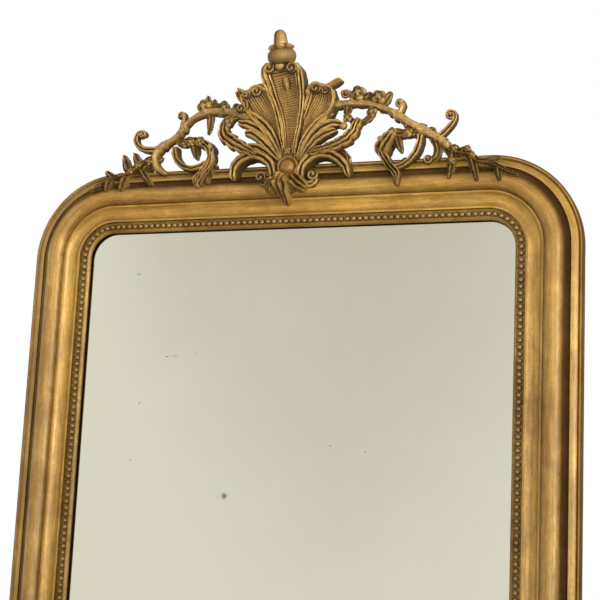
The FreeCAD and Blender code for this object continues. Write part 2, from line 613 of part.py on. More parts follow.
def crest_point(share_x, share_z):
    """Point over the frame's top edge from its shares of the half span and of the rise."""
    return Vec(CREST_HALF_SPAN * share_x, 0, FRAME_TOP + CREST_RISE * share_z)


def shell_seat(point):
    """Back plane of the shell, which leans forward as it rises."""
    return SHELL_SEAT + LEAN_SHARE * (point.z - FRAME_TOP)


def scroll_seat(point):
    """Back of the C-scrolls."""
    return SCROLL_SEAT


def branch_seat(point):
    """Back of the branches, which come forward towards the shell."""
    reach = CREST_HALF_SPAN * LIFT_REACH_SHARE
    return BRANCH_SEAT + CREST_LIFT * max(0, 1 - abs(point.x) / reach)


def spray_seat(point):
    """Back of what lies on the top rail, let into the moulding."""
    return SPRAY_SEAT


def palmette_seat(point):
    """Back of the palmette, let into the moulding."""
    return PALMETTE_SEAT


def stations(rows):
    """Centre, direction and remaining shares at each station and half-way between stations."""
    points = [crest_point(row[0], row[1]) for row in rows]
    curve = Part.BSplineCurve()
    curve.interpolate(points)
    marks = [curve.parameter(point) for point in points]
    places = list(zip(marks, [row[2:] for row in rows]))
    halves = []
    for (mark, shares), (next_mark, next_shares) in zip(places, places[1:]):
        mean = [(a + b) / 2 for a, b in zip(shares, next_shares)]
        halves.append(((mark + next_mark) / 2, mean))
    ordered = sorted(places + halves, key=lambda place: place[0])
    return [(curve.value(mark), curve.tangent(mark)[0], shares) for mark, shares in ordered]


def section_across(centre, along, seat, corners):
    """Closed section square to a limb, from offsets to the side and heights over its seat."""
    side = along.cross(INTO_WALL)
    points = []
    for offset, height in corners:
        point = centre + side * offset
        points.append(Vec(point.x, CHASSIS_FRONT_Y - seat(point) - height, point.z))
    return Part.makePolygon(points + points[:1])


def limb(rows, girth, depth, seat, climb_share=0):
    """Flat-backed limb with a ridge along its front, lofted along a smooth curve."""
    sections = []
    for centre, along, (share,) in stations(rows):
        half = girth * share / 2
        tall = depth * (TIP_DEPTH_SHARE + (1 - TIP_DEPTH_SHARE) * min(share, 1))
        climb = climb_share * max(0, FRAME_TOP - centre.z)
        shoulder = climb + tall * SHOULDER_SHARE
        corners = ((-half, 0), (-half, shoulder), (0, climb + tall), (half, shoulder), (half, 0))
        sections.append(section_across(centre, along, seat, corners))
    return Part.makeLoft(sections, True, True)


def lobe(rows, width):
    """Fluted shell lobe: raised rims, two hollows and a rib, lofted along its spine."""
    sections = []
    for centre, along, (width_share, depth_share) in stations(rows):
        half = width * width_share / 2
        tall = LOBE_DEPTH * depth_share
        corners = [(half * across, tall * height) for across, height in LOBE_SECTION_SHARES]
        sections.append(section_across(centre, along, shell_seat, corners))
    return Part.makeLoft(sections, True, True)


def eye(share_x, share_z, radius, depth, seat):
    """Round button at the end of a curl."""
    point = crest_point(share_x, share_z)
    back_y = CHASSIS_FRONT_Y - seat(point)
    return dowel(point.x, point.z, radius, back_y - depth - EYE_RISE, back_y)


def blossom(share_x, share_z):
    """Round flower bud on a branch."""
    point = crest_point(share_x, share_z)
    middle_y = CHASSIS_FRONT_Y - branch_seat(point) - BRANCH_DEPTH / 2
    return Part.makeSphere(BLOSSOM_RADIUS, Vec(point.x, middle_y, point.z))


def rail_limb(rows, climb_share=CLIMB_SHARE):
    """Limb that lies on the top rail and climbs over its torus."""
    return limb(rows, BRANCH_GIRTH, SPRAY_DEPTH, spray_seat, climb_share)


def spray_leaf(base, tip):
    """Pointed leaf of a spray, from its base to its tip."""
    middle = [(a + b) / 2 for a, b in zip(base, tip)]
    return rail_limb([(*place, share) for place, share in zip((base, middle, tip), LEAF_GIRTH_SHARES)])


def branch_limb(rows):
    """Limb of a branch."""
    return limb(rows, BRANCH_GIRTH, BRANCH_DEPTH, branch_seat)


def end_eye(rows):
    """Button at the last station of a branch's curl."""
    return eye(rows[-1][0], rows[-1][1], EYE_RADIUS, BRANCH_DEPTH, branch_seat)


def scroll(rows):
    """C-scroll that rolls up round a button."""
    roll = limb(rows, SCROLL_GIRTH, SCROLL_DEPTH, scroll_seat)
    return roll.fuse(eye(rows[-1][0], rows[-1][1], EYE_RADIUS, SCROLL_DEPTH, scroll_seat))


def plume(tables):
    """Ribs that sweep out from the foot of the shell."""
    ribs = [limb(rows, PLUME_GIRTH, PLUME_DEPTH, shell_seat) for rows in tables]
    return ribs[0].fuse(ribs[1:])


def turned_face(points):
    """Half outline, closed along its axis; a step is a corner, or a point on a curve and the curve's end."""
    edges = []
    here = Vec(0, points[0][-1][1], 0)
    first = here
    for step in points:
        end = Vec(*step[-1])
        if len(step) > 1:
            curve = Part.BSplineCurve()
            curve.interpolate([here, Vec(*step[0]), end])
            edges.append(curve.toShape())
        else:
            edges.append(Part.makeLine(here, end))
        here = end
    edges.append(Part.makeLine(here, first))
    return Part.Face(Part.Wire(edges))


def boss():
    """Turned boss: beaded rim round a domed button."""
    rim_middle = (BOSS_RADIUS + BUTTON_RADIUS) / 2
    dome_rise = BUTTON_HEIGHT - BOSS_RIM_HEIGHT
    outline = (
        ((BOSS_RADIUS, -BOSS_SEAT),),
        ((BOSS_RADIUS, -BOSS_RIM_HEIGHT),),
        ((rim_middle, -BOSS_RIM_HEIGHT - BOSS_BEAD), (BUTTON_RADIUS, -BOSS_RIM_HEIGHT)),
        ((BUTTON_RADIUS * DOME_SHARE, -BOSS_RIM_HEIGHT - dome_rise * DOME_SHARE), (0, -BUTTON_HEIGHT)))
    turned = turned_face(outline).revolve(Vec(0, 0, 0), INTO_WALL, 360)
    place = crest_point(*BOSS_SHARE)
    turned.translate(Vec(place.x, CHASSIS_FRONT_Y, place.z))
    return turned


def finial():
    """Turned cup and bud that leans with the shell."""
    outline = [tuple((FINIAL_RADIUS * across, FINIAL_HEIGHT * rise) for across, rise in step)
               for step in FINIAL_OUTLINE_SHARES]
    turned = turned_face(outline).revolve(Vec(0, 0, 0), INTO_WALL, 360)
    turned.rotate(Vec(0, 0, 0), RIGHT, 90 + math.degrees(math.atan(LEAN_SHARE)))
    place = crest_point(*FINIAL_SHARE)
    front_y = CHASSIS_FRONT_Y - shell_seat(place) - LOBE_DEPTH * FINIAL_DEPTH_SHARE
    turned.translate(Vec(place.x, front_y, place.z))
    return turned


def crest_block():
    """Block on the top rail whose front face leans with the back of the shell."""
    top = FRAME_TOP + CREST_BLOCK_RISE
    side = CREST_HALF_SPAN * CREST_BLOCK_SHARE - CREST_BLOCK_WIDTH / 2
    heel = FRAME_TOP - CHASSIS_INSET
    corners = [Vec(side, CHASSIS_BACK_Y, heel), Vec(side, CHASSIS_BACK_Y, top),
               Vec(side, CHASSIS_FRONT_Y - shell_seat(Vec(0, 0, top)), top),
               Vec(side, CHASSIS_FRONT_Y - SHELL_SEAT, FRAME_TOP),
               Vec(side, CHASSIS_FRONT_Y, FRAME_TOP), Vec(side, CHASSIS_FRONT_Y, heel)]
    return Part.Face(Part.makePolygon(corners + corners[:1])).extrude(RIGHT * CREST_BLOCK_WIDTH)


def fitted(blank, carriers):
    """Cut a blank back to the faces of the pieces that carry it."""
    cut = cut_all(blank, carriers)
    return max(cut.Solids, key=lambda solid: solid.Volume)


def make_crest_carriers(holes):
    """Block and batten behind the shell."""
    keep("crest_block", cut_all(crest_block(), holes))
    middle = CREST_HALF_SPAN * CREST_BLOCK_SHARE
    half = CREST_BLOCK_WIDTH / 2
    batten = box_between(middle - half, middle + half, CHASSIS_BACK_Y, 0,
                         FRAME_TOP - BOARD_SETBACK + BATTEN_GAP, FRAME_TOP + CREST_BLOCK_RISE)
    keep("crest_batten", cut_all(batten, holes))


def crest_blanks():
    """Blanks of the carved pieces, those that carry others first."""
    yield "crest_boss", boss()
    yield "crest_scroll_left", scroll(SCROLL_LEFT_SHARES)
    yield "crest_scroll_right", scroll(SCROLL_RIGHT_SHARES)
    volutes = [eye(x, z, VOLUTE_RADIUS, LOBE_DEPTH, shell_seat) for x, z in VOLUTE_EYE_SHARES]
    yield "crest_shell_centre", lobe(CENTRE_LOBE_SHARES, CENTRE_LOBE_WIDTH).fuse(volutes)
    rim_left = limb(RIM_LEFT_SHARES, PLUME_GIRTH, LOBE_DEPTH, shell_seat)
    yield "crest_shell_left", lobe(LEFT_LOBE_SHARES, SIDE_LOBE_WIDTH).fuse(rim_left)
    rim_right = limb(RIM_RIGHT_SHARES, PLUME_GIRTH, LOBE_DEPTH, shell_seat)
    yield "crest_shell_right", lobe(RIGHT_LOBE_SHARES, SIDE_LOBE_WIDTH).fuse(rim_right)
    yield "crest_finial", finial()
    yield "crest_plume_left", plume(PLUME_LEFT_SHARES)
    yield "crest_plume_right", plume(PLUME_RIGHT_SHARES)
    fingers = [limb(rows, PALMETTE_GIRTH, PALMETTE_DEPTH, palmette_seat) for rows in PALMETTE_SHARES]
    yield "crest_palmette", fingers[0].fuse(fingers[1:])
    yield "crest_branch_left", branch_limb(STEM_LEFT_SHARES).fuse(
        [branch_limb(HOOK_LEFT_SHARES), end_eye(HOOK_LEFT_SHARES), branch_limb(CURL_LEFT_SHARES),
         end_eye(CURL_LEFT_SHARES), branch_limb(DROP_LEFT_SHARES)]
        + [blossom(x, z) for x, z in BLOSSOM_LEFT_SHARES])
    yield "crest_branch_right", branch_limb(STEM_RIGHT_SHARES).fuse(
        [branch_limb(HOOK_RIGHT_SHARES), end_eye(HOOK_RIGHT_SHARES), branch_limb(CURL_RIGHT_SHARES),
         end_eye(CURL_RIGHT_SHARES), branch_limb(TOP_CURL_RIGHT_SHARES), end_eye(TOP_CURL_RIGHT_SHARES),
         branch_limb(RINGLET_RIGHT_SHARES), branch_limb(FOOT_RIGHT_SHARES)]
        + [blossom(x, z) for x, z in BLOSSOM_RIGHT_SHARES])
    yield "crest_leaf_left", branch_limb(LEAF_LEFT_SHARES)
    yield "crest_leaf_right", branch_limb(LEAF_RIGHT_SHARES)
    yield "crest_volute_left", rail_limb(VOLUTE_LEFT_SHARES).fuse(rail_limb(RING_LEFT_SHARES, 0))
    yield "crest_volute_right", rail_limb(VOLUTE_RIGHT_SHARES).fuse(
        [rail_limb(RING_RIGHT_SHARES, 0), rail_limb(BARB_RIGHT_SHARES, 0)])
    for name, rows, leaves in (("left", SPRAY_LEFT_SHARES, SPRAY_LEAF_LEFT_SHARES),
                               ("right", SPRAY_RIGHT_SHARES, SPRAY_LEAF_RIGHT_SHARES)):
        yield "crest_spray_" + name, rail_limb(rows).fuse([spray_leaf(base, tip) for base, tip in leaves])


def make_crest():
    """Carved pieces, each cut back to the mouldings and to the pieces before it."""
    runs = ("top", "corner_left", "corner_right")
    carriers = [solids["outer_moulding_" + run] for run in runs]
    carriers += [solids["inner_moulding_top"], solids["crest_block"]]
    for name, blank in crest_blanks():
        piece = fitted(blank, carriers)
        keep(name, piece)
        carriers.append(piece)


def main():
    """Build every piece of the mirror."""
    os.makedirs("parts", exist_ok=True)
    screw_holes = all_screws(SCREW_CLEARANCE)
    nail_holes = [nail(x, z, NAIL_CLEARANCE) for x, z in nail_places()]
    frame_moulding("outer_moulding", outer_section())
    frame_moulding("inner_moulding", inner_section())
    frame_moulding("pearl_strip", pearl_section())
    frame_moulding("sight_slip", slip_section())
    make_chassis(screw_holes + nail_holes)
    make_glass()
    make_backboards()
    make_hangers(screw_holes)
    make_crest_carriers(screw_holes)
    make_crest()
    keep("wood_screws", Part.makeCompound(all_screws()))


main()
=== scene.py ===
"""Looks of a gilt mirror: swept gilt mouldings, a pearl row and a carved shell crest.

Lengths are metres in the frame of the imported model: +Z up, +X to the viewer's right, front towards -Y, and the
wall plane at y = 0. Sizes of the timber are given in millimetres, as a frame maker writes them.
"""

import logging
import math
from dataclasses import dataclass, field
from enum import Enum
from typing import Callable, Sequence

import bmesh
import bpy
import numpy as np
from mathutils import Matrix, Vector


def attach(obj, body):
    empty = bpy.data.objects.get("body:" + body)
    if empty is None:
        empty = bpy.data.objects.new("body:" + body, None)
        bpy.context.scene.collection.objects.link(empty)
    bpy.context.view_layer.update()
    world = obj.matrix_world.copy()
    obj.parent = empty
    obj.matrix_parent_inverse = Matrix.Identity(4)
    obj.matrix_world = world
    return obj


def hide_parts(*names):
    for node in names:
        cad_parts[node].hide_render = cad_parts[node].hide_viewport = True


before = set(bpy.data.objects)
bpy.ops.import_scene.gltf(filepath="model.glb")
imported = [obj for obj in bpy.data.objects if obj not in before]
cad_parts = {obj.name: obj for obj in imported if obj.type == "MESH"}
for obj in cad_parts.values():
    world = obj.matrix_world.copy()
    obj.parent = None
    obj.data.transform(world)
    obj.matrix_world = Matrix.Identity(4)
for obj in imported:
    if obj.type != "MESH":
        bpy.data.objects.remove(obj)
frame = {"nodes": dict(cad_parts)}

log = logging.getLogger("gilt_mirror")

Array = np.ndarray
Piece = bpy.types.Object
Material = bpy.types.Material
NodeTree = bpy.types.NodeTree
Node = bpy.types.Node
Socket = bpy.types.NodeSocket
Triple = tuple[float, float, float]
Colour = Triple
Station = Triple
Stations = Sequence[Station]
Share = tuple[float, float]
Seat = Callable[[Array, Array], Array]

MM = 0.001
BODY = "mirror_frame"
RUNS = ("left", "right", "top", "bottom", "corner_left", "corner_right")
MERGE_DISTANCE = 2e-6
THIN_EDGE = 1e-7
SAME_PLACE = 1e-6
TINY = 1e-9


class Carving(Enum):
    """How the front of a carved limb is shaped across its width."""

    STEM = "stem"
    LEAF = "leaf"
    ROLL = "roll"
    RIB = "rib"
    FLUTE = "flute"


class Way(Enum):
    """Which way the grain of a timber runs."""

    UPRIGHT = "upright"
    LEVEL = "level"


@dataclass
class Grid:
    """Surface on a two-parameter grid.

    Attributes:
        points: Places in metres, shape (n, m, 3).
        relief: How raised each place is, 0 in a hollow and 1 on a ridge, shape (n, m); the gilding paints shade in
            the low places and highlight on the high ones by it.
        pattern: Metres along and across the surface, shape (n, m, 2).
    """

    points: Array
    relief: Array
    pattern: Array


Carved = dict[str, list[Grid]]


def spline(stations: Array, count: int) -> Array:
    """Sample a natural cubic spline evenly by chord length.

    Between two stations the value is a cubic. Its second slopes solve the usual three-band system, with no
    bend at the two ends.

    Args:
        stations: One row per station; the first two columns are the place.
        count: Number of samples.

    Returns:
        Rows of sampled values.
    """
    steps = np.linalg.norm(np.diff(stations[:, :2], axis=0), axis=1)
    knots = np.concatenate(([0.0], np.cumsum(steps)))
    last = len(knots) - 1
    inner = np.arange(1, last)
    system = np.eye(last + 1)
    system[inner, inner - 1] = steps[:-1]
    system[inner, inner] = 2 * (steps[:-1] + steps[1:])
    system[inner, inner + 1] = steps[1:]
    right = np.zeros_like(stations)
    right[1:-1] = 6 * np.diff(np.diff(stations, axis=0) / steps[:, None], axis=0)
    bend = np.linalg.solve(system, right)
    place = np.linspace(0.0, knots[-1], count)
    span = np.clip(np.searchsorted(knots, place, side="right") - 1, 0, last - 1)
    width = steps[span][:, None]
    far = (place - knots[span])[:, None] / width
    near = 1 - far
    cubic = (near**3 - near) * bend[span] + (far**3 - far) * bend[span + 1]
    return near * stations[span] + far * stations[span + 1] + cubic * width**2 / 6


def arc_through(start: Sequence[float], middle: Sequence[float], end: Sequence[float], count: int) -> Array:
    """Points on the circle through three points, without the first one.

    The centre is where the upright bisectors of the two chords meet; the angle runs evenly from start to end.

    Args:
        start: First point.
        middle: A point on the arc.
        end: Last point.
        count: Number of points after the first.

    Returns:
        Array of shape (count, 2).
    """
    a, b, c = (np.asarray(p, float) for p in (start, middle, end))
    system = 2 * np.array([b - a, c - a])
    centre = np.linalg.solve(system, np.array([b @ b - a @ a, c @ c - a @ a]))
    angles = [math.atan2(*(p - centre)[::-1]) for p in (a, b, c)]
    turn = (angles[2] - angles[0]) % math.tau
    if (angles[1] - angles[0]) % math.tau > turn:
        turn -= math.tau
    swing = angles[0] + turn * np.linspace(0, 1, count + 1)[1:]
    radius = np.linalg.norm(a - centre)
    return centre + radius * stacked(np.cos(swing), np.sin(swing))


def smooth_step(low: float, high: float, value: Array) -> Array:
    """Ease from 0 at low to 1 at high along 3s^2 - 2s^3."""
    s = np.clip((value - low) / (high - low), 0, 1)
    return s * s * (3 - 2 * s)


def stacked(*parts: Array | float) -> Array:
    """Vectors from their parts, each spread over the whole grid."""
    return np.stack(np.broadcast_arrays(*parts), axis=-1)


def walked_along(path: Array) -> Array:
    """Distance walked to each point of a path: the summed lengths of its steps, from 0."""
    return np.concatenate(([0.0], np.cumsum(np.linalg.norm(np.diff(path, axis=0), axis=1))))


def sideways(path: Array) -> Array:
    """Direction across a path at each of its points: its slope of unit length, turned by a quarter."""
    flow = np.gradient(path, axis=0)
    return stacked(-flow[:, 1], flow[:, 0]) / np.linalg.norm(flow, axis=1)[:, None]


def close_ends(points: Array) -> Array:
    """Close a row of sections: a first and a last row lie in the middle of the end sections."""
    middle = np.broadcast_to(points.mean(axis=1, keepdims=True), points.shape)
    return np.concatenate([middle[:1], points, middle[-1:]])


def hand_waver(points: Array, amount: float, pitch: float) -> Array:
    """Shift of a hand-cut surface: three crossed sine waves of unequal pitch, summed per axis.

    Args:
        points: Places in metres.
        amount: Largest shift in metres.
        pitch: Distance between two crests in metres.

    Returns:
        Shifts of the same shape as the points.
    """
    rate = math.tau / pitch
    x, y, z = (points[..., k] * rate for k in range(3))
    wave_x = np.sin(y * 1.3 + z * 0.9 + 0.7) * np.cos(x * 0.6)
    wave_y = np.sin(x * 1.1 - z * 0.8 + 1.9) + np.sin(z * 1.7 + x * 0.5)
    wave_z = np.sin(x * 0.9 + y * 1.2 + 2.6) * np.cos(z * 0.7 + 0.4)
    return amount * stacked(wave_x, wave_y * 0.5, wave_z)


def piece_from_grids(name: str, grids: Sequence[Grid], sharp_deg: float = 50.0) -> Piece:
    """Make one object from grids, merging their seams and poles.

    Every grid cell is a quad of its four neighbours (i, j), (i+1, j), (i+1, j+1), (i, j+1).

    Args:
        name: Name of the piece.
        grids: The surfaces that make up the piece.
        sharp_deg: Edges that turn by more than this stay sharp.

    Returns:
        The new object, linked to the scene.
    """
    points, relief, pattern, quads = [], [], [], []
    start = 0
    for grid in grids:
        rows, columns = grid.relief.shape
        index = start + np.arange(rows * columns).reshape(rows, columns)
        cell = np.stack([index[:-1, :-1], index[1:, :-1], index[1:, 1:], index[:-1, 1:]], axis=-1)
        quads.append(cell.reshape(-1, 4))
        points.append(grid.points.reshape(-1, 3))
        relief.append(grid.relief.reshape(-1))
        pattern.append(grid.pattern.reshape(-1, 2))
        start += rows * columns
    corners = np.concatenate(quads).astype(np.int32)
    places = np.concatenate(pattern)
    mesh = bpy.data.meshes.new(name)
    mesh.vertices.add(start)
    mesh.vertices.foreach_set("co", np.concatenate(points).astype(np.float32).ravel())
    mesh.loops.add(corners.size)
    mesh.loops.foreach_set("vertex_index", corners.ravel())
    mesh.polygons.add(len(corners))
    mesh.polygons.foreach_set("loop_start", np.arange(0, corners.size, 4, dtype=np.int32))
    mesh.update(calc_edges=True)
    pattern_map = mesh.uv_layers.new(name="pattern")
    pattern_map.data.foreach_set("uv", places[corners.ravel()].astype(np.float32).ravel())
    height = mesh.attributes.new("relief", "FLOAT", "POINT")
    height.data.foreach_set("value", np.concatenate(relief).astype(np.float32))
    work = bmesh.new()
    work.from_mesh(mesh)
    bmesh.ops.remove_doubles(work, verts=work.verts, dist=MERGE_DISTANCE)
    bmesh.ops.dissolve_degenerate(work, edges=work.edges, dist=THIN_EDGE)
    bmesh.ops.recalc_face_normals(work, faces=work.faces)
    work.to_mesh(mesh)
    work.free()
    mesh.polygons.foreach_set("use_smooth", np.ones(len(mesh.polygons), dtype=bool))
    mesh.set_sharp_from_angle(angle=math.radians(sharp_deg))
    piece = bpy.data.objects.new(name, mesh)
    bpy.context.scene.collection.objects.link(piece)
    return piece


def settle(piece: Piece, finish: Material, slot: str, *nodes: str) -> None:
    """Give a piece its finish, and let it ride on the frame in place of CAD nodes.

    Args:
        piece: The object that is dressed.
        finish: Its material.
        slot: Not used.
        nodes: CAD nodes that it stands for.
    """
    piece.data.materials.clear()
    piece.data.materials.append(finish)
    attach(piece, BODY)
    if nodes:
        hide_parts(*nodes)
    log.info("%s: %d faces, stands for %d nodes", piece.name, len(piece.data.polygons), len(nodes))


class Tree:
    """Adds nodes to a node tree and joins their sockets."""

    def __init__(self, tree: NodeTree) -> None:
        """Hold the tree that is filled."""
        self.tree = tree

    def add(self, kind: str, **settings: object) -> Node:
        """Add a node.

        Args:
            kind: Blender's name of the node type.
            settings: The node's own options.

        Returns:
            The new node.
        """
        node = self.tree.nodes.new(kind)
        for name, value in settings.items():
            setattr(node, name, value)
        return node

    def feed(self, socket: Socket, value: object) -> None:
        """Join a socket to another one, or set its constant.

        Args:
            socket: The socket that is fed.
            value: Another socket, a number, a place or a colour.
        """
        if isinstance(value, Socket):
            self.tree.links.new(value, socket)
        elif isinstance(value, tuple) and socket.type == "RGBA":
            socket.default_value = (*value, 1.0)[:4]
        else:
            socket.default_value = value

    def fill(self, node: Node, values: dict[str, object]) -> Node:
        """Feed a node's sockets.

        Args:
            node: The node.
            values: What feeds each socket, by the socket's name.

        Returns:
            The same node.
        """
        for name, value in values.items():
            self.feed(node.inputs[name], value)
        return node

    def effect(self, group: NodeTree, values: dict[str, object]) -> Node:
        """Place a shared effect and feed its inputs."""
        return self.fill(self.add("ShaderNodeGroup", node_tree=group), values)

    def sum(self, operation: str, a: object, b: object = 0.0) -> Socket:
        """Arithmetic on one or two values.

        Args:
            operation: Blender's name of the operation.
            a: First value.
            b: Second value, where the operation has one.

        Returns:
            The result.
        """
        node = self.add("ShaderNodeMath", operation=operation)
        self.feed(node.inputs[0], a)
        self.feed(node.inputs[1], b)
        return node.outputs[0]

    def plus(self, a: object, b: object) -> Socket:
        """Sum of two values."""
        return self.sum("ADD", a, b)

    def minus(self, a: object, b: object) -> Socket:
        """Difference of two values."""
        return self.sum("SUBTRACT", a, b)

    def times(self, a: object, b: object) -> Socket:
        """Product of two values."""
        return self.sum("MULTIPLY", a, b)

    def split(self, place: object) -> tuple[Socket, ...]:
        """The three parts of a place."""
        return tuple(self.fill(self.add("ShaderNodeSeparateXYZ"), {"Vector": place}).outputs)

    def mix_shaders(self, share: object, a: object, b: object, end: Node) -> None:
        """Mix two shaders and send the mix to the tree's end.

        Args:
            share: How much of the second shader shows.
            a: First shader.
            b: Second shader.
            end: Output node of the tree.
        """
        node = self.add("ShaderNodeMixShader")
        for socket, part in zip(node.inputs, (share, a, b)):
            self.feed(socket, part)
        self.feed(end.inputs[0], node.outputs[0])

    def ease(self, value: object, low: float, high: float, start: float = 0.0, end: float = 1.0) -> Socket:
        """Carry a value smoothly from one span to another.

        Args:
            value: The value that is carried.
            low: Where the first span starts.
            high: Where the first span ends.
            start: What low becomes.
            end: What high becomes.

        Returns:
            The carried value.
        """
        node = self.add("ShaderNodeMapRange", interpolation_type="SMOOTHSTEP")
        for socket, part in zip(node.inputs, (value, low, high, start, end)):
            self.feed(socket, part)
        return node.outputs[0]

    def blend(self, share: object, a: object, b: object, mode: str = "MIX") -> Socket:
        """Blend two colours.

        Args:
            share: How much of the second colour shows.
            a: First colour.
            b: Second colour.
            mode: How the second colour acts on the first.

        Returns:
            The blended colour.
        """
        node = self.add("ShaderNodeMix", data_type="RGBA", blend_type=mode)
        self.feed(node.inputs[0], share)
        self.feed(node.inputs[6], a)
        self.feed(node.inputs[7], b)
        return node.outputs[2]

    def stretch(self, vector: object, scale: Triple, shift: Triple = (0, 0, 0)) -> Socket:
        """Scale and shift a pattern's place."""
        return self.fill(self.add("ShaderNodeMapping"),
                         {"Vector": vector, "Scale": scale, "Location": shift}).outputs[0]

    def noise(self, vector: object, scale: float, detail: float = 3.0, rough: float = 0.55,
              twist: float = 0.0) -> Socket:
        """Cloudy value between 0 and 1."""
        return self.fill(self.add("ShaderNodeTexNoise"), {
            "Vector": vector, "Scale": scale, "Detail": detail, "Roughness": rough, "Distortion": twist}).outputs[0]


def new_group(name: str, inputs: Sequence[tuple[str, str]],
              outputs: Sequence[tuple[str, str]]) -> tuple[NodeTree, Tree, dict[str, Socket], Node]:
    """Start a shader node group with named sockets.

    Args:
        name: Name of the group.
        inputs: Pairs of socket name and socket type.
        outputs: Pairs of socket name and socket type.

    Returns:
        The group, a helper that fills it, what it is given by name, and its output node.
    """
    group = bpy.data.node_groups.new(name, "ShaderNodeTree")
    for label, kind in inputs:
        group.interface.new_socket(name=label, in_out="INPUT", socket_type=kind)
    for label, kind in outputs:
        group.interface.new_socket(name=label, in_out="OUTPUT", socket_type=kind)
    tree = Tree(group)
    given = {socket.name: socket for socket in tree.add("NodeGroupInput").outputs}
    return group, tree, given, tree.add("NodeGroupOutput")


VALUE = "NodeSocketFloat"
PLACE = "NodeSocketVector"
COLOUR = "NodeSocketColor"
WOOD_OUTPUTS = (("Colour", COLOUR), ("Roughness", VALUE), ("Height", VALUE))
METAL_OUTPUTS = WOOD_OUTPUTS + (("Metal", VALUE),)
GILDING_OUTPUTS = METAL_OUTPUTS + (("Coat", VALUE),)


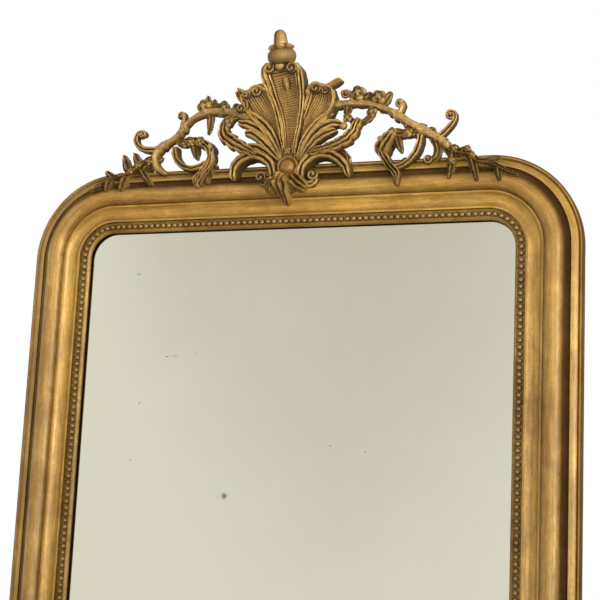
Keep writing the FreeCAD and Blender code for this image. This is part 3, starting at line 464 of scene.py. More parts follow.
class EffectGroups:
    """Shader node groups that more than one finish uses, each built once."""

    def __init__(self) -> None:
        """Build the groups."""
        self.gilding = self.make_gilding()
        self.hatch = self.make_hatch()
        self.pine = self.make_pine()
        self.metal = self.make_metal()

    @staticmethod
    def make_gilding() -> NodeTree:
        """Gold leaf with umber patina and painted shade: cloudy gold, rubbed edges down to the bole, umber in the
        hollows that is partly real patina and partly painted shade, and hollows painted darker and ridges lighter as
        painted shade and highlight.

        Returns:
            The filled group.
        """
        group, tree, given, made = new_group(
            "toned_and_shaded_gilding",
            (("Place", PLACE), ("Pattern", PLACE), ("Relief", VALUE), ("Gold", COLOUR), ("Dull gold", COLOUR),
             ("Bole", COLOUR), ("Umber", COLOUR), ("Wear", VALUE), ("Toning and shade", VALUE)),
            GILDING_OUTPUTS)
        place, pattern, relief = (given[k] for k in ("Place", "Pattern", "Relief"))
        cloud = tree.noise(place, 11.0, 5.0, 0.62, 0.4)
        speckle = tree.noise(place, 230.0, 4.0, 0.6)
        patch = tree.noise(place, 46.0, 6.0, 0.66, 0.8)
        brush = tree.noise(tree.stretch(pattern, (9.0, 420.0, 1.0)), 1.0, 3.0, 0.6)
        streak = tree.noise(tree.stretch(pattern, (22.0, 160.0, 1.0)), 1.0, 4.0, 0.6, 0.5)
        gold = tree.blend(tree.ease(cloud, 0.34, 0.66), given["Gold"], given["Dull gold"])
        shade = tree.plus(tree.times(brush, 0.30), tree.times(speckle, 0.26))
        gold = tree.blend(0.60, gold, tree.ease(shade, 0.15, 0.42, 0.55, 1.15), "MULTIPLY")
        gold = tree.blend(1.0, gold, tree.ease(streak, 0.30, 0.72, 0.76, 1.20), "MULTIPLY")
        # Painted shade and highlight: darker in the hollows and lighter on the ridges, by the relief.
        gold = tree.blend(1.0, gold, tree.ease(relief, 0.30, 1.0, 0.82, 1.22), "MULTIPLY")
        edge = tree.sum("ABSOLUTE", tree.minus(relief, 0.30))
        rub = tree.plus(patch, tree.times(streak, 0.20))
        rub = tree.plus(rub, tree.times(given["Wear"], 0.16))
        worn = tree.times(tree.ease(rub, 0.66, 0.96), tree.ease(edge, 0.0, 0.5, 0.9, 0.25))
        # Umber in the low places: partly real patina, partly painted shade in hollows and at the feet of limbs.
        low = tree.minus(1.0, relief)
        hollow_tone_and_shade = tree.times(tree.plus(low, tree.times(patch, 0.5)), given["Toning and shade"])
        toned_and_shaded = tree.ease(hollow_tone_and_shade, 0.42, 1.05)
        colour = tree.blend(tree.times(worn, 0.75), gold, given["Bole"])
        colour = tree.blend(tree.times(toned_and_shaded, 0.92), colour, given["Umber"])
        matt = tree.sum("MAXIMUM", worn, toned_and_shaded)
        rough = tree.plus(tree.ease(cloud, 0.3, 0.7, 0.0, 0.14), tree.ease(matt, 0.0, 1.0, 0.38, 0.66))
        height = tree.plus(tree.times(speckle, 0.35), tree.times(patch, 0.5))
        height = tree.minus(height, tree.times(worn, 0.25))
        tree.fill(made, {"Colour": colour, "Roughness": rough, "Height": height,
                         "Metal": tree.ease(matt, 0.0, 1.0, 0.15, 0.02),
                         "Coat": tree.ease(matt, 0.0, 0.6, 0.60, 0.0)})
        return group

    @staticmethod
    def make_hatch() -> NodeTree:
        """Engraved slanting lines: a sine of the distance across them, faded in patches.

        Returns:
            The filled group.
        """
        group, tree, given, made = new_group(
            "engraved_hatch", (("Place", PLACE), ("Pattern", PLACE), ("Lines per metre", VALUE), ("Where", VALUE)),
            (("Height", VALUE), ("Line", VALUE)))
        along, across, _ = tree.split(given["Pattern"])
        slant = tree.plus(along, tree.times(across, 0.55))
        turn = tree.times(slant, given["Lines per metre"])
        wave = tree.sum("SINE", tree.times(turn, math.tau))
        cut = tree.ease(wave, 0.1, 0.9)
        seen = tree.ease(tree.noise(given["Place"], 7.0, 3.0), 0.36, 0.62, 0.10, 1.0)
        line = tree.times(tree.times(cut, seen), given["Where"])
        tree.fill(made, {"Height": tree.minus(0.0, line), "Line": line})
        return group

    @staticmethod
    def make_pine() -> NodeTree:
        """Aged pine: stretched rings, fine pores, a few knots and brown patina.

        Returns:
            The filled group.
        """
        group, tree, given, made = new_group(
            "aged_pine", (("Place", PLACE), ("Early wood", COLOUR), ("Late wood", COLOUR), ("Stain", COLOUR)),
            WOOD_OUTPUTS)
        place = given["Place"]
        bend = tree.noise(tree.stretch(place, (4.0, 4.0, 0.5)), 1.0, 2.0)
        x, y, _ = tree.split(place)
        across = tree.plus(tree.times(x, 34.0), tree.times(y, 26.0))
        rings = tree.plus(across, tree.times(bend, 7.0))
        late = tree.ease(tree.sum("FRACT", rings), 0.45, 0.97)
        pores = tree.noise(tree.stretch(place, (520.0, 520.0, 9.0)), 1.0, 2.0, 0.7)
        patina = tree.noise(place, 5.0, 4.0, 0.6, 0.5)
        cells = tree.fill(tree.add("ShaderNodeTexVoronoi", feature="F1"),
                          {"Vector": tree.stretch(place, (4.1, 4.1, 1.7)), "Scale": 1.0})
        knot = tree.ease(cells.outputs["Distance"], 0.03, 0.10, 1.0, 0.0)
        colour = tree.blend(tree.times(late, 0.75), given["Early wood"], given["Late wood"])
        colour = tree.blend(tree.ease(pores, 0.55, 0.75, 0.0, 0.35), colour, given["Late wood"])
        colour = tree.blend(tree.ease(patina, 0.40, 0.72, 0.0, 0.65), colour, given["Stain"])
        colour = tree.blend(tree.times(knot, 0.8), colour, given["Stain"])
        height = tree.minus(tree.times(late, 0.5), tree.times(pores, 0.4))
        tree.fill(made, {"Colour": colour, "Roughness": tree.ease(patina, 0.3, 0.7, 0.62, 0.80), "Height": height})
        return group

    @staticmethod
    def make_metal() -> NodeTree:
        """Dulled metal: cloudy tarnish, rust spots and fine scratches.

        Returns:
            The filled group.
        """
        group, tree, given, made = new_group(
            "dull_metal", (("Place", PLACE), ("Bright", COLOUR), ("Tarnish", COLOUR), ("Rust", COLOUR),
                           ("Rust amount", VALUE)), METAL_OUTPUTS)
        place = given["Place"]
        cloud = tree.noise(place, 120.0, 5.0, 0.6, 0.6)
        spots = tree.noise(place, 420.0, 4.0, 0.65)
        scratch = tree.noise(tree.stretch(place, (300.0, 300.0, 2600.0)), 1.0, 2.0)
        rust = tree.times(tree.ease(spots, 0.56, 0.74), given["Rust amount"])
        colour = tree.blend(tree.ease(cloud, 0.35, 0.68), given["Bright"], given["Tarnish"])
        colour = tree.blend(rust, colour, given["Rust"])
        rough = tree.plus(tree.ease(cloud, 0.3, 0.7, 0.34, 0.52), tree.times(rust, 0.3))
        tree.fill(made, {"Colour": colour, "Roughness": rough, "Metal": tree.ease(rust, 0.0, 1.0, 0.95, 0.15),
                         "Height": tree.plus(tree.times(scratch, 0.3), spots)})
        return group


def new_finish(name: str) -> tuple[Material, Tree, Node]:
    """Start a material.

    Args:
        name: Name of the material.

    Returns:
        The material, a helper for its nodes, and its shader.
    """
    finish = bpy.data.materials.new(name)
    finish.use_nodes = True
    return finish, Tree(finish.node_tree), finish.node_tree.nodes["Principled BSDF"]


def join_surface(tree: Tree, group: Node, shader: Node, depth: float, strength: float,
                 height: Socket | None = None, colour: Socket | None = None) -> None:
    """Join a group's colour, roughness and height, and its metal where it has it, to a shader.

    Args:
        tree: Helper of the material's tree.
        group: The placed node group.
        shader: The shader that is fed.
        depth: Depth of the bump in metres.
        strength: Strength of the bump.
        height: Height to use in place of the group's own.
        colour: Colour to use in place of the group's own.
    """
    bump = tree.fill(tree.add("ShaderNodeBump"), {"Strength": strength, "Distance": depth,
                                                  "Height": height or group.outputs["Height"]})
    tree.fill(shader, {"Base Color": colour or group.outputs["Colour"], "Roughness": group.outputs["Roughness"],
                       "Normal": bump.outputs[0]})
    if "Metal" in group.outputs:
        tree.feed(shader.inputs["Metallic"], group.outputs["Metal"])


@dataclass(frozen=True)
class GiltFinish:
    """Gilding on gesso with umber patina in its hollows, and painted shade and highlight by its relief."""

    name: str
    gold: Colour
    dull_gold: Colour
    bole: Colour
    umber: Colour
    wear: float
    toning_and_shade: float
    hatch: float = 0.0
    hatch_height: float = 0.9
    hatch_dark: float = 0.34
    bump_depth: float = 0.0006
    bump_strength: float = 0.45
    coat_roughness: float = 0.38
    gloss: float = 0.20

    def build(self, groups: EffectGroups) -> Material:
        """Make the material.

        Args:
            groups: The shared effect groups.

        Returns:
            The finished material.
        """
        finish, tree, shader = new_finish(self.name)
        where = {"Place": tree.add("ShaderNodeTexCoord").outputs["Object"],
                 "Pattern": tree.add("ShaderNodeUVMap", uv_map="pattern").outputs[0]}
        relief = tree.add("ShaderNodeAttribute", attribute_name="relief").outputs["Fac"]
        gilding = tree.effect(groups.gilding, where | {
            "Relief": relief, "Gold": self.gold, "Dull gold": self.dull_gold, "Bole": self.bole, "Umber": self.umber,
            "Wear": self.wear, "Toning and shade": self.toning_and_shade})
        height, colour = gilding.outputs["Height"], gilding.outputs["Colour"]
        if self.hatch:
            band = tree.add("ShaderNodeAttribute", attribute_name="hatched").outputs["Fac"]
            hatch = tree.effect(groups.hatch, where | {"Lines per metre": self.hatch, "Where": band})
            height = tree.plus(height, tree.times(hatch.outputs["Height"], self.hatch_height))
            # Painted shade: the engraved lines are darkened with the bole colour.
            colour = tree.blend(tree.times(hatch.outputs["Line"], self.hatch_dark), colour, self.bole)
        join_surface(tree, gilding, shader, self.bump_depth, self.bump_strength, height, colour)
        tree.fill(shader, {"Coat Weight": gilding.outputs["Coat"], "Coat Roughness": self.coat_roughness,
                           "Specular IOR Level": self.gloss})
        return finish


@dataclass(frozen=True)
class PineFinish:
    """Bare aged pine with its grain along one axis."""

    name: str
    early_wood: Colour
    late_wood: Colour
    stain: Colour
    way: Way
    bump_depth: float = 0.0004
    bump_strength: float = 0.35

    def build(self, groups: EffectGroups) -> Material:
        """Make the material.

        Args:
            groups: The shared effect groups.

        Returns:
            The finished material.
        """
        finish, tree, shader = new_finish(self.name)
        turn = tree.fill(tree.add("ShaderNodeMapping"), {
            "Vector": tree.add("ShaderNodeTexCoord").outputs["Object"],
            "Rotation": (0.0, math.pi / 2 if self.way is Way.LEVEL else 0.0, 0.0)})
        pine = tree.effect(groups.pine, {"Place": turn.outputs[0], "Early wood": self.early_wood,
                                         "Late wood": self.late_wood, "Stain": self.stain})
        join_surface(tree, pine, shader, self.bump_depth, self.bump_strength)
        return finish


@dataclass(frozen=True)
class MetalFinish:
    """Dulled steel or iron."""

    name: str
    bright: Colour
    tarnish: Colour
    rust: Colour
    rust_amount: float
    bump_depth: float = 0.0002
    bump_strength: float = 0.3

    def build(self, groups: EffectGroups) -> Material:
        """Make the material.

        Args:
            groups: The shared effect groups.

        Returns:
            The finished material.
        """
        finish, tree, shader = new_finish(self.name)
        metal = tree.effect(groups.metal, {
            "Place": tree.add("ShaderNodeTexCoord").outputs["Object"], "Bright": self.bright,
            "Tarnish": self.tarnish, "Rust": self.rust, "Rust amount": self.rust_amount})
        join_surface(tree, metal, shader, self.bump_depth, self.bump_strength)
        return finish


@dataclass(frozen=True)
class SilveredFinish:
    """Old silvered plate: a hazy mirror with cloudy stains and a few dark losses.

    A mark is the x and z of its middle, its half width and its half height, in metres.
    """

    name: str
    clear: Colour
    haze: Colour
    loss: Colour
    marks: tuple[tuple[float, float, float, float], ...] = ()
    faint_over: float = 0.004
    faint_share: float = 0.30
    loss_share: float = 0.8
    drift_middle: float = 0.08
    drift_rise: float = 1.50
    drift_fall: float = 6.0

    def build(self) -> Material:
        """Make the material.

        The haze colour shows more upwards and towards its middle, so the plate is darker there. Small losses show
        dark and broad ones faintly.

        Returns:
            The finished material.
        """
        finish, tree, shader = new_finish(self.name)
        place = tree.add("ShaderNodeTexCoord").outputs["Object"]
        x, _, z = tree.split(place)
        cloud = tree.noise(place, 3.2, 4.0, 0.55, 0.3)
        mottle = tree.noise(place, 26.0, 5.0, 0.6)
        across = tree.minus(x, self.drift_middle)
        drift = tree.minus(tree.times(z, self.drift_rise), tree.times(tree.times(across, across), self.drift_fall))
        share = tree.plus(tree.times(cloud, 0.5), tree.times(mottle, 0.16))
        colour = tree.blend(tree.ease(tree.plus(share, drift), 0.10, 1.25), self.clear, self.haze)
        spots = tree.noise(place, 95.0, 3.0, 0.7)
        far = tree.noise(tree.stretch(place, (1.0, 1.0, 1.0), (3.7, 1.3, 5.1)), 6.0, 2.0)
        lost = tree.times(tree.ease(spots, 0.80, 0.84), tree.ease(far, 0.56, 0.70))
        for middle_x, middle_z, half_width, half_height in self.marks:
            across = tree.sum("DIVIDE", tree.minus(x, middle_x), half_width)
            up = tree.sum("DIVIDE", tree.minus(z, middle_z), half_height)
            oval = tree.ease(tree.plus(tree.times(across, across), tree.times(up, up)), 0.4, 1.2, 1.0, 0.0)
            shown = self.faint_share if min(half_width, half_height) > self.faint_over else 1.0
            lost = tree.sum("MAXIMUM", lost, tree.times(oval, shown))
        colour = tree.blend(tree.times(lost, self.loss_share), colour, self.loss)
        tree.fill(shader, {"Base Color": colour, "Roughness": tree.ease(mottle, 0.3, 0.7, 0.06, 0.11),
                           "Metallic": 1.0})
        return finish


PLATE_MARKS = (
    (-0.084, 0.188, 0.0034, 0.0036), (-0.084, 0.188, 0.0066, 0.0066), (-0.2345, 0.5007, 0.0036, 0.0007),
    (-0.182, 0.3805, 0.0026, 0.0008), (-0.170, 0.3815, 0.0065, 0.0004), (-0.1394, 0.384, 0.0012, 0.0007),
    (-0.2209, 0.3144, 0.0007, 0.0022), (-0.2289, 0.234, 0.0010, 0.0012), (0.065, 0.2586, 0.0022, 0.0006),
    (0.1141, 0.2515, 0.0016, 0.0006))


@dataclass
class FrameShape:
    """Outline that every moulding follows, in millimetres."""

    width: float = 800.0
    height: float = 1300.0
    corner_radius: float = 126.0
    chassis_front: float = 34.0
    corner_steps: int = 40
    run_steps: int = 24
    moulding_middle: float = 45.0
    upward_shade: float = 0.45
    lit_from: float = -0.55
    lit_full: float = -0.95

    def stations(self) -> tuple[Array, Array, Array]:
        """Walk round the outline from the lower left corner, clockwise as seen from the front.

        Straight runs are even steps between their two ends; the upper corners are quarter circles; the lower
        corners are mitred, so their inward step also goes along the run.

        Returns:
            Places on the outer edge, inward steps for each millimetre of setback, and millimetres walked at the
            middle of the moulding.
        """
        side, top, bend = self.width / 2, self.height / 2, self.corner_radius
        run = np.linspace(0, 1, self.run_steps)[:, None]
        turn = np.linspace(0, math.pi / 2, self.corner_steps)
        cos, sin = np.cos(turn), np.sin(turn)

        def straight(start: Sequence[float], end: Sequence[float], first: Sequence[float],
                     last: Sequence[float]) -> tuple[Array, Array]:
            """Places that go evenly from start to end, and inward steps that go evenly from first to last."""
            return tuple(np.asarray(a) * (1 - run) + np.asarray(b) * run for a, b in ((start, end), (first, last)))

        left = straight((-side, -top), (-side, top - bend), (1, 1), (1, 0))
        corner_left = (stacked(-side + bend - bend * cos, top - bend + bend * sin), stacked(cos, -sin))
        upper = straight((-side + bend, top), (side - bend, top), (0, -1), (0, -1))
        corner_right = (stacked(side - bend + bend * sin, top - bend + bend * cos), stacked(-sin, -cos))
        right = straight((side, top - bend), (side, -top), (-1, 0), (-1, 1))
        lower = straight((side, -top), (-side, -top), (-1, 1), (1, 1))
        parts = (left, corner_left, upper, corner_right, right, lower)
        places = np.concatenate([part[0] for part in parts])
        steps = np.concatenate([part[1] for part in parts])
        walked = walked_along(places + steps * self.moulding_middle)
        keep = np.concatenate(([True], np.linalg.norm(np.diff(places, axis=0), axis=1) > SAME_PLACE))
        return places[keep], steps[keep], walked[keep]

    def sweep(self, profile: Array, relief: Array, lit: Array | None = None) -> Grid:
        """Carry a closed section round the outline.

        A point is the place on the outer edge, plus the inward step times the setback; its height over the chassis is
        taken towards the front. Painted shade takes relief away from what faces upwards.

        Args:
            profile: Setback and height of each corner of the section, in millimetres.
            relief: Relief of each corner.
            lit: Relief that is added to each corner towards the left side, as painted light.

        Returns:
            The swept surface, with its seam closed.
        """
        places, steps, walked = self.stations()
        flat = places[:, None, :] + steps[:, None, :] * profile[None, :, :1]
        points = stacked(flat[..., 0], -self.chassis_front - profile[None, :, 1], flat[..., 1]) * MM
        pattern = stacked(walked[:, None], walked_along(profile)[None, :]) * MM
        tone = np.broadcast_to(relief, flat.shape[:2]).copy()
        if lit is not None:
            # Painted light: the section is lighter towards the left side.
            tone += lit[None, :] * smooth_step(self.lit_from, self.lit_full, places[:, :1] / (self.width / 2))
        slope = np.gradient(profile, axis=0)
        inward = -slope[:, 1] / np.maximum(np.linalg.norm(slope, axis=1), TINY)
        flow = np.gradient(places, axis=0)
        upward = -flow[:, :1] / np.linalg.norm(flow, axis=1)[:, None]
        # Painted shade on the faces that look upwards.
        tone -= self.upward_shade * np.clip(inward[None, :] * upward, 0, 1)
        return Grid(points, np.clip(tone, 0, 1), pattern)


@dataclass
class GiltMouldings:
    """Outer moulding, inner moulding and sight slip, as sections in setback and height over the chassis."""

    shape: FrameShape
    arc_steps: int = 14
    lip_width: float = 4.9
    quirk_width: float = 1.5
    cove_start: float = 15.5
    torus_start: float = 24.5
    torus_end: float = 50.5
    torus_spring: float = 21.63
    channel: float = 74.0
    channel_floor: float = 14.5
    rebate: float = 80.0
    sight_edge: float = 84.6
    glass_level: float = 10.5
    quirk_lit: float = 0.40
    cove_lit: float = 0.46
    cove_lit_past: float = 1.0
    hatch_from: float = 24.0
    hatch_full: float = 28.0

    def section(self, start: Sequence[float], steps: Sequence[tuple]) -> tuple[Array, Array]:
        """Lay out a closed section.

        A step is a corner with its relief, or a point on an arc, the arc's end, and the relief in its middle
        and at its end. Straight steps get points close to both ends so that edges stay crisp.

        Args:
            start: First corner.
            steps: The steps in order.

        Returns:
            Corners and their relief.
        """
        places, relief = [np.asarray([start], float)], [np.asarray([0.05])]
        for step in steps:
            here = places[-1][-1]
            if len(step) == 2:
                share = np.array([0.04, 0.5, 0.96, 1.0])[:, None]
                places.append(here * (1 - share) + np.asarray(step[0]) * share)
                relief.append(np.full(4, step[1]))
            else:
                places.append(arc_through(here, step[0], step[1], self.arc_steps))
                swing = np.sin(math.pi * np.linspace(0, 1, self.arc_steps + 1)[1:])
                relief.append(step[3] + (step[2] - step[3]) * swing)
        places.append(np.asarray([start], float))
        relief.append(np.asarray([0.05]))
        return np.concatenate(places), np.concatenate(relief)

    def outer_section(self) -> tuple[Array, Array]:
        """Lip, quirk, sloped band, cove and large torus.

        Returns:
            Places and relief of the outline.
        """
        # Painted shade: the relief leaves the cove and the flanks of the torus dark and lights the torus's crown.
        return self.section((0, 0), (
            ((0, 13.0), 0.02), ((0.8, 14.6), 0.04), ((2.2, 15.45), 0.10), ((3.8, 15.2), 0.75), ((5.0, 14.0), 0.45),
            ((6.2, 14.0), 0.05), ((10.85, 18.0), (self.cove_start, 19.0), 0.85, 0.80),
            ((20.0, 12.5), (self.torus_start, self.torus_spring), 0.06, 0.06),
            ((37.5, 34.5), (self.torus_end, self.torus_spring), 0.82, 0.10), ((self.torus_end, 0), 0.2)))

    def inner_section(self) -> tuple[Array, Array]:
        """Lip, cavetto, fillet and pearl seat, rebated for the glass.

        Returns:
            Places and relief of the outline.
        """
        return self.section((self.torus_end, 0), (
            ((self.torus_end, 23.0), 0.3), ((53.0, 23.0), 0.8), ((62.25, 16.5), (71.5, 19.5), 0.88, 0.82),
            ((self.channel, 19.5), 0.78), ((self.channel, self.channel_floor), 0.2),
            ((self.sight_edge, self.channel_floor), 0.40), ((self.sight_edge, self.glass_level), 0.2),
            ((self.rebate, self.glass_level), 0.2), ((self.rebate, 0), 0.2)))

    def slip_section(self) -> tuple[Array, Array]:
        """Sight slip that falls towards the glass.

        Returns:
            Places and relief of the outline.
        """
        # Painted shade: the relief leaves the inner face of the slip dark.
        return self.section((self.sight_edge, self.glass_level), (
            ((self.sight_edge, 16.0), 0.3), ((86.9, 15.0), (89.2, 12.2), 0.50, 0.38),
            ((89.2, self.glass_level), 0.02)))

    def build(self, finish: Material) -> None:
        """Sweep the sections and mark where the torus is engraved.

        Args:
            finish: Gilding of the mouldings.
        """
        for name, node, section in (("gilt_outer_moulding", "outer_moulding", self.outer_section()),
                                    ("gilt_inner_moulding", "inner_moulding", self.inner_section()),
                                    ("gilt_sight_slip", "sight_slip", self.slip_section())):
            setback = section[0][:, 0]
            # Painted light on the quirk and the cove towards the left side.
            in_cove = (setback > self.cove_start) & (setback < self.torus_start + self.cove_lit_past)
            in_quirk = (setback > self.lip_width) & (setback < self.lip_width + self.quirk_width)
            lit = np.where(in_cove, self.cove_lit, 0.0) + np.where(in_quirk, self.quirk_lit, 0.0)
            piece = piece_from_grids(name, [self.shape.sweep(*section, lit)], sharp_deg=40.0)
            self.mark_hatched(piece)
            settle(piece, finish, "gilt", *[node + "_" + run for run in RUNS])

    def mark_hatched(self, piece: Piece) -> None:
        """Mark the places that are engraved: those on the front of the torus, by their height over the chassis.

        Args:
            piece: The swept moulding.
        """
        places = np.empty(len(piece.data.vertices) * 3, np.float32)
        piece.data.vertices.foreach_get("co", places)
        height = -places.reshape(-1, 3)[:, 1] / MM - self.shape.chassis_front
        marked = smooth_step(self.hatch_from, self.hatch_full, height)
        hatched = piece.data.attributes.new("hatched", "FLOAT", "POINT")
        hatched.data.foreach_set("value", marked.astype(np.float32))


@dataclass
class PearlRow:
    """Row of carved pearls in their channel round the glass, in millimetres."""

    shape: FrameShape
    setback: float = 80.9
    seat: float = 14.3
    pitch: float = 8.9
    radius: float = 4.1
    rise: float = 5.0
    rings: int = 6
    sides: int = 10
    uneven: float = 0.04
    uneven_rate: float = 2.4
    base_tone: float = 0.03
    top_tone: float = 0.84

    def build(self, finish: Material) -> None:
        """Set a low dome at every pitch along the channel.

        A dome is a quarter ellipse turned round its axis: radius times the cosine, rise times the sine, with a
        flat base. Its size wavers a little from pearl to pearl.

        Args:
            finish: Gilding of the pearls.
        """
        places, steps, _ = self.shape.stations()
        path = places + steps * self.setback
        walked = walked_along(path)
        count = round(walked[-1] / self.pitch)
        marks = (np.arange(count) + 0.5) * walked[-1] / count
        x = np.interp(marks, walked, path[:, 0])
        z = np.interp(marks, walked, path[:, 1])
        lift = np.concatenate(([0.0], np.linspace(0, math.pi / 2, self.rings)))[:, None]
        turn = np.linspace(0, math.tau, self.sides + 1)[None, :]
        reach = self.radius * np.cos(lift) * (np.arange(self.rings + 1) > 0)[:, None]
        dome_x = reach * np.cos(turn)
        dome_z = reach * np.sin(turn)
        front = self.shape.chassis_front + self.seat + self.rise * np.sin(lift)
        uneven = 1 + self.uneven * np.sin(np.arange(count) * self.uneven_rate)[:, None, None]
        points = stacked(x[:, None, None] + dome_x * uneven, -front, z[:, None, None] + dome_z * uneven) * MM
        # Painted shade at the foot of each pearl and painted highlight on its top.
        relief = self.base_tone + self.top_tone * np.sin(lift) + 0 * turn
        pattern = stacked(dome_x, dome_z) * MM
        grids = [Grid(dome, relief, pattern) for dome in points]
        piece = piece_from_grids("gilt_pearl_row", grids, sharp_deg=80.0)
        settle(piece, finish, "gilt", *["pearl_strip_" + run for run in RUNS])


@dataclass
class MirrorPlate:
    """Silvered plate that lies behind the mouldings, in millimetres."""

    shape: FrameShape
    setback: float = 81.0
    face: float = 7.0
    back: float = 6.5

    def build(self, finish: Material) -> None:
        """Draw the outline in to the middle, once for the front and once for the back.

        A point is the outline's place times a share from 0 in the middle to 1 at the edge. The front is the
        silvered face as it is seen through the glass.

        Args:
            finish: Old silvering.
        """
        places, steps, _ = self.shape.stations()
        outline = places + steps * self.setback
        share = np.array([0.0, 0.5, 0.97, 1.0, 1.0, 0.5, 0.0])[:, None]
        height = np.array([self.face] * 4 + [self.back] * 3)[:, None]
        flat = share[..., None] * outline[None]
        points = stacked(flat[..., 0], -self.shape.chassis_front - height, flat[..., 1]) * MM
        grid = Grid(points, np.ones(points.shape[:2]), flat * MM)
        piece = piece_from_grids("silvered_plate", [grid], sharp_deg=30.0)
        settle(piece, finish, "mirror_glass", "mirror_plate")


@dataclass
class CrestShape:
    """Sizes that the crest's shares are taken of, in millimetres, and where its pieces seat."""

    half_span: float = 315.0
    rise: float = 185.0
    frame_top: float = 650.0
    chassis_front: float = 34.0
    lean: float = 0.17
    shell_back: float = 22.0
    scroll_back: float = 22.0
    branch_back: float = 14.0
    rail_back: float = 8.0
    palmette_back: float = 18.0
    torus_middle: float = 37.5
    torus_half: float = 13.0
    torus_fall: float = 12.0
    lift: float = 30.0
    lift_reach: float = 0.63

    def shell_seat(self, x: Array, z: Array) -> Array:
        """Back of the shell, leaning forward as it rises."""
        return self.shell_back + self.lean * z

    def scroll_seat(self, x: Array, z: Array) -> Array:
        """Back of the C-scrolls."""
        return self.scroll_back + 0 * x

    def branch_seat(self, x: Array, z: Array) -> Array:
        """Back of the branches, which come forward towards the shell."""
        return self.branch_back + self.lift * np.maximum(0, 1 - np.abs(x) / (self.half_span * self.lift_reach))

    def rail_seat(self, x: Array, z: Array) -> Array:
        """Back of what lies on the top rail."""
        return self.rail_back + 0 * x

    def palmette_seat(self, x: Array, z: Array) -> Array:
        """Back of the palmette, which falls with the torus under it."""
        past = np.maximum(0, (-z - self.torus_middle) / self.torus_half)
        return self.palmette_back - self.torus_fall * np.minimum(past**2, 1)

    def place(self, x: Array, height: Array, z: Array) -> Array:
        """Metres in the model's frame from x, height over the chassis and rise over the frame's top."""
        return stacked(x, -self.chassis_front - height, self.frame_top + z) * MM


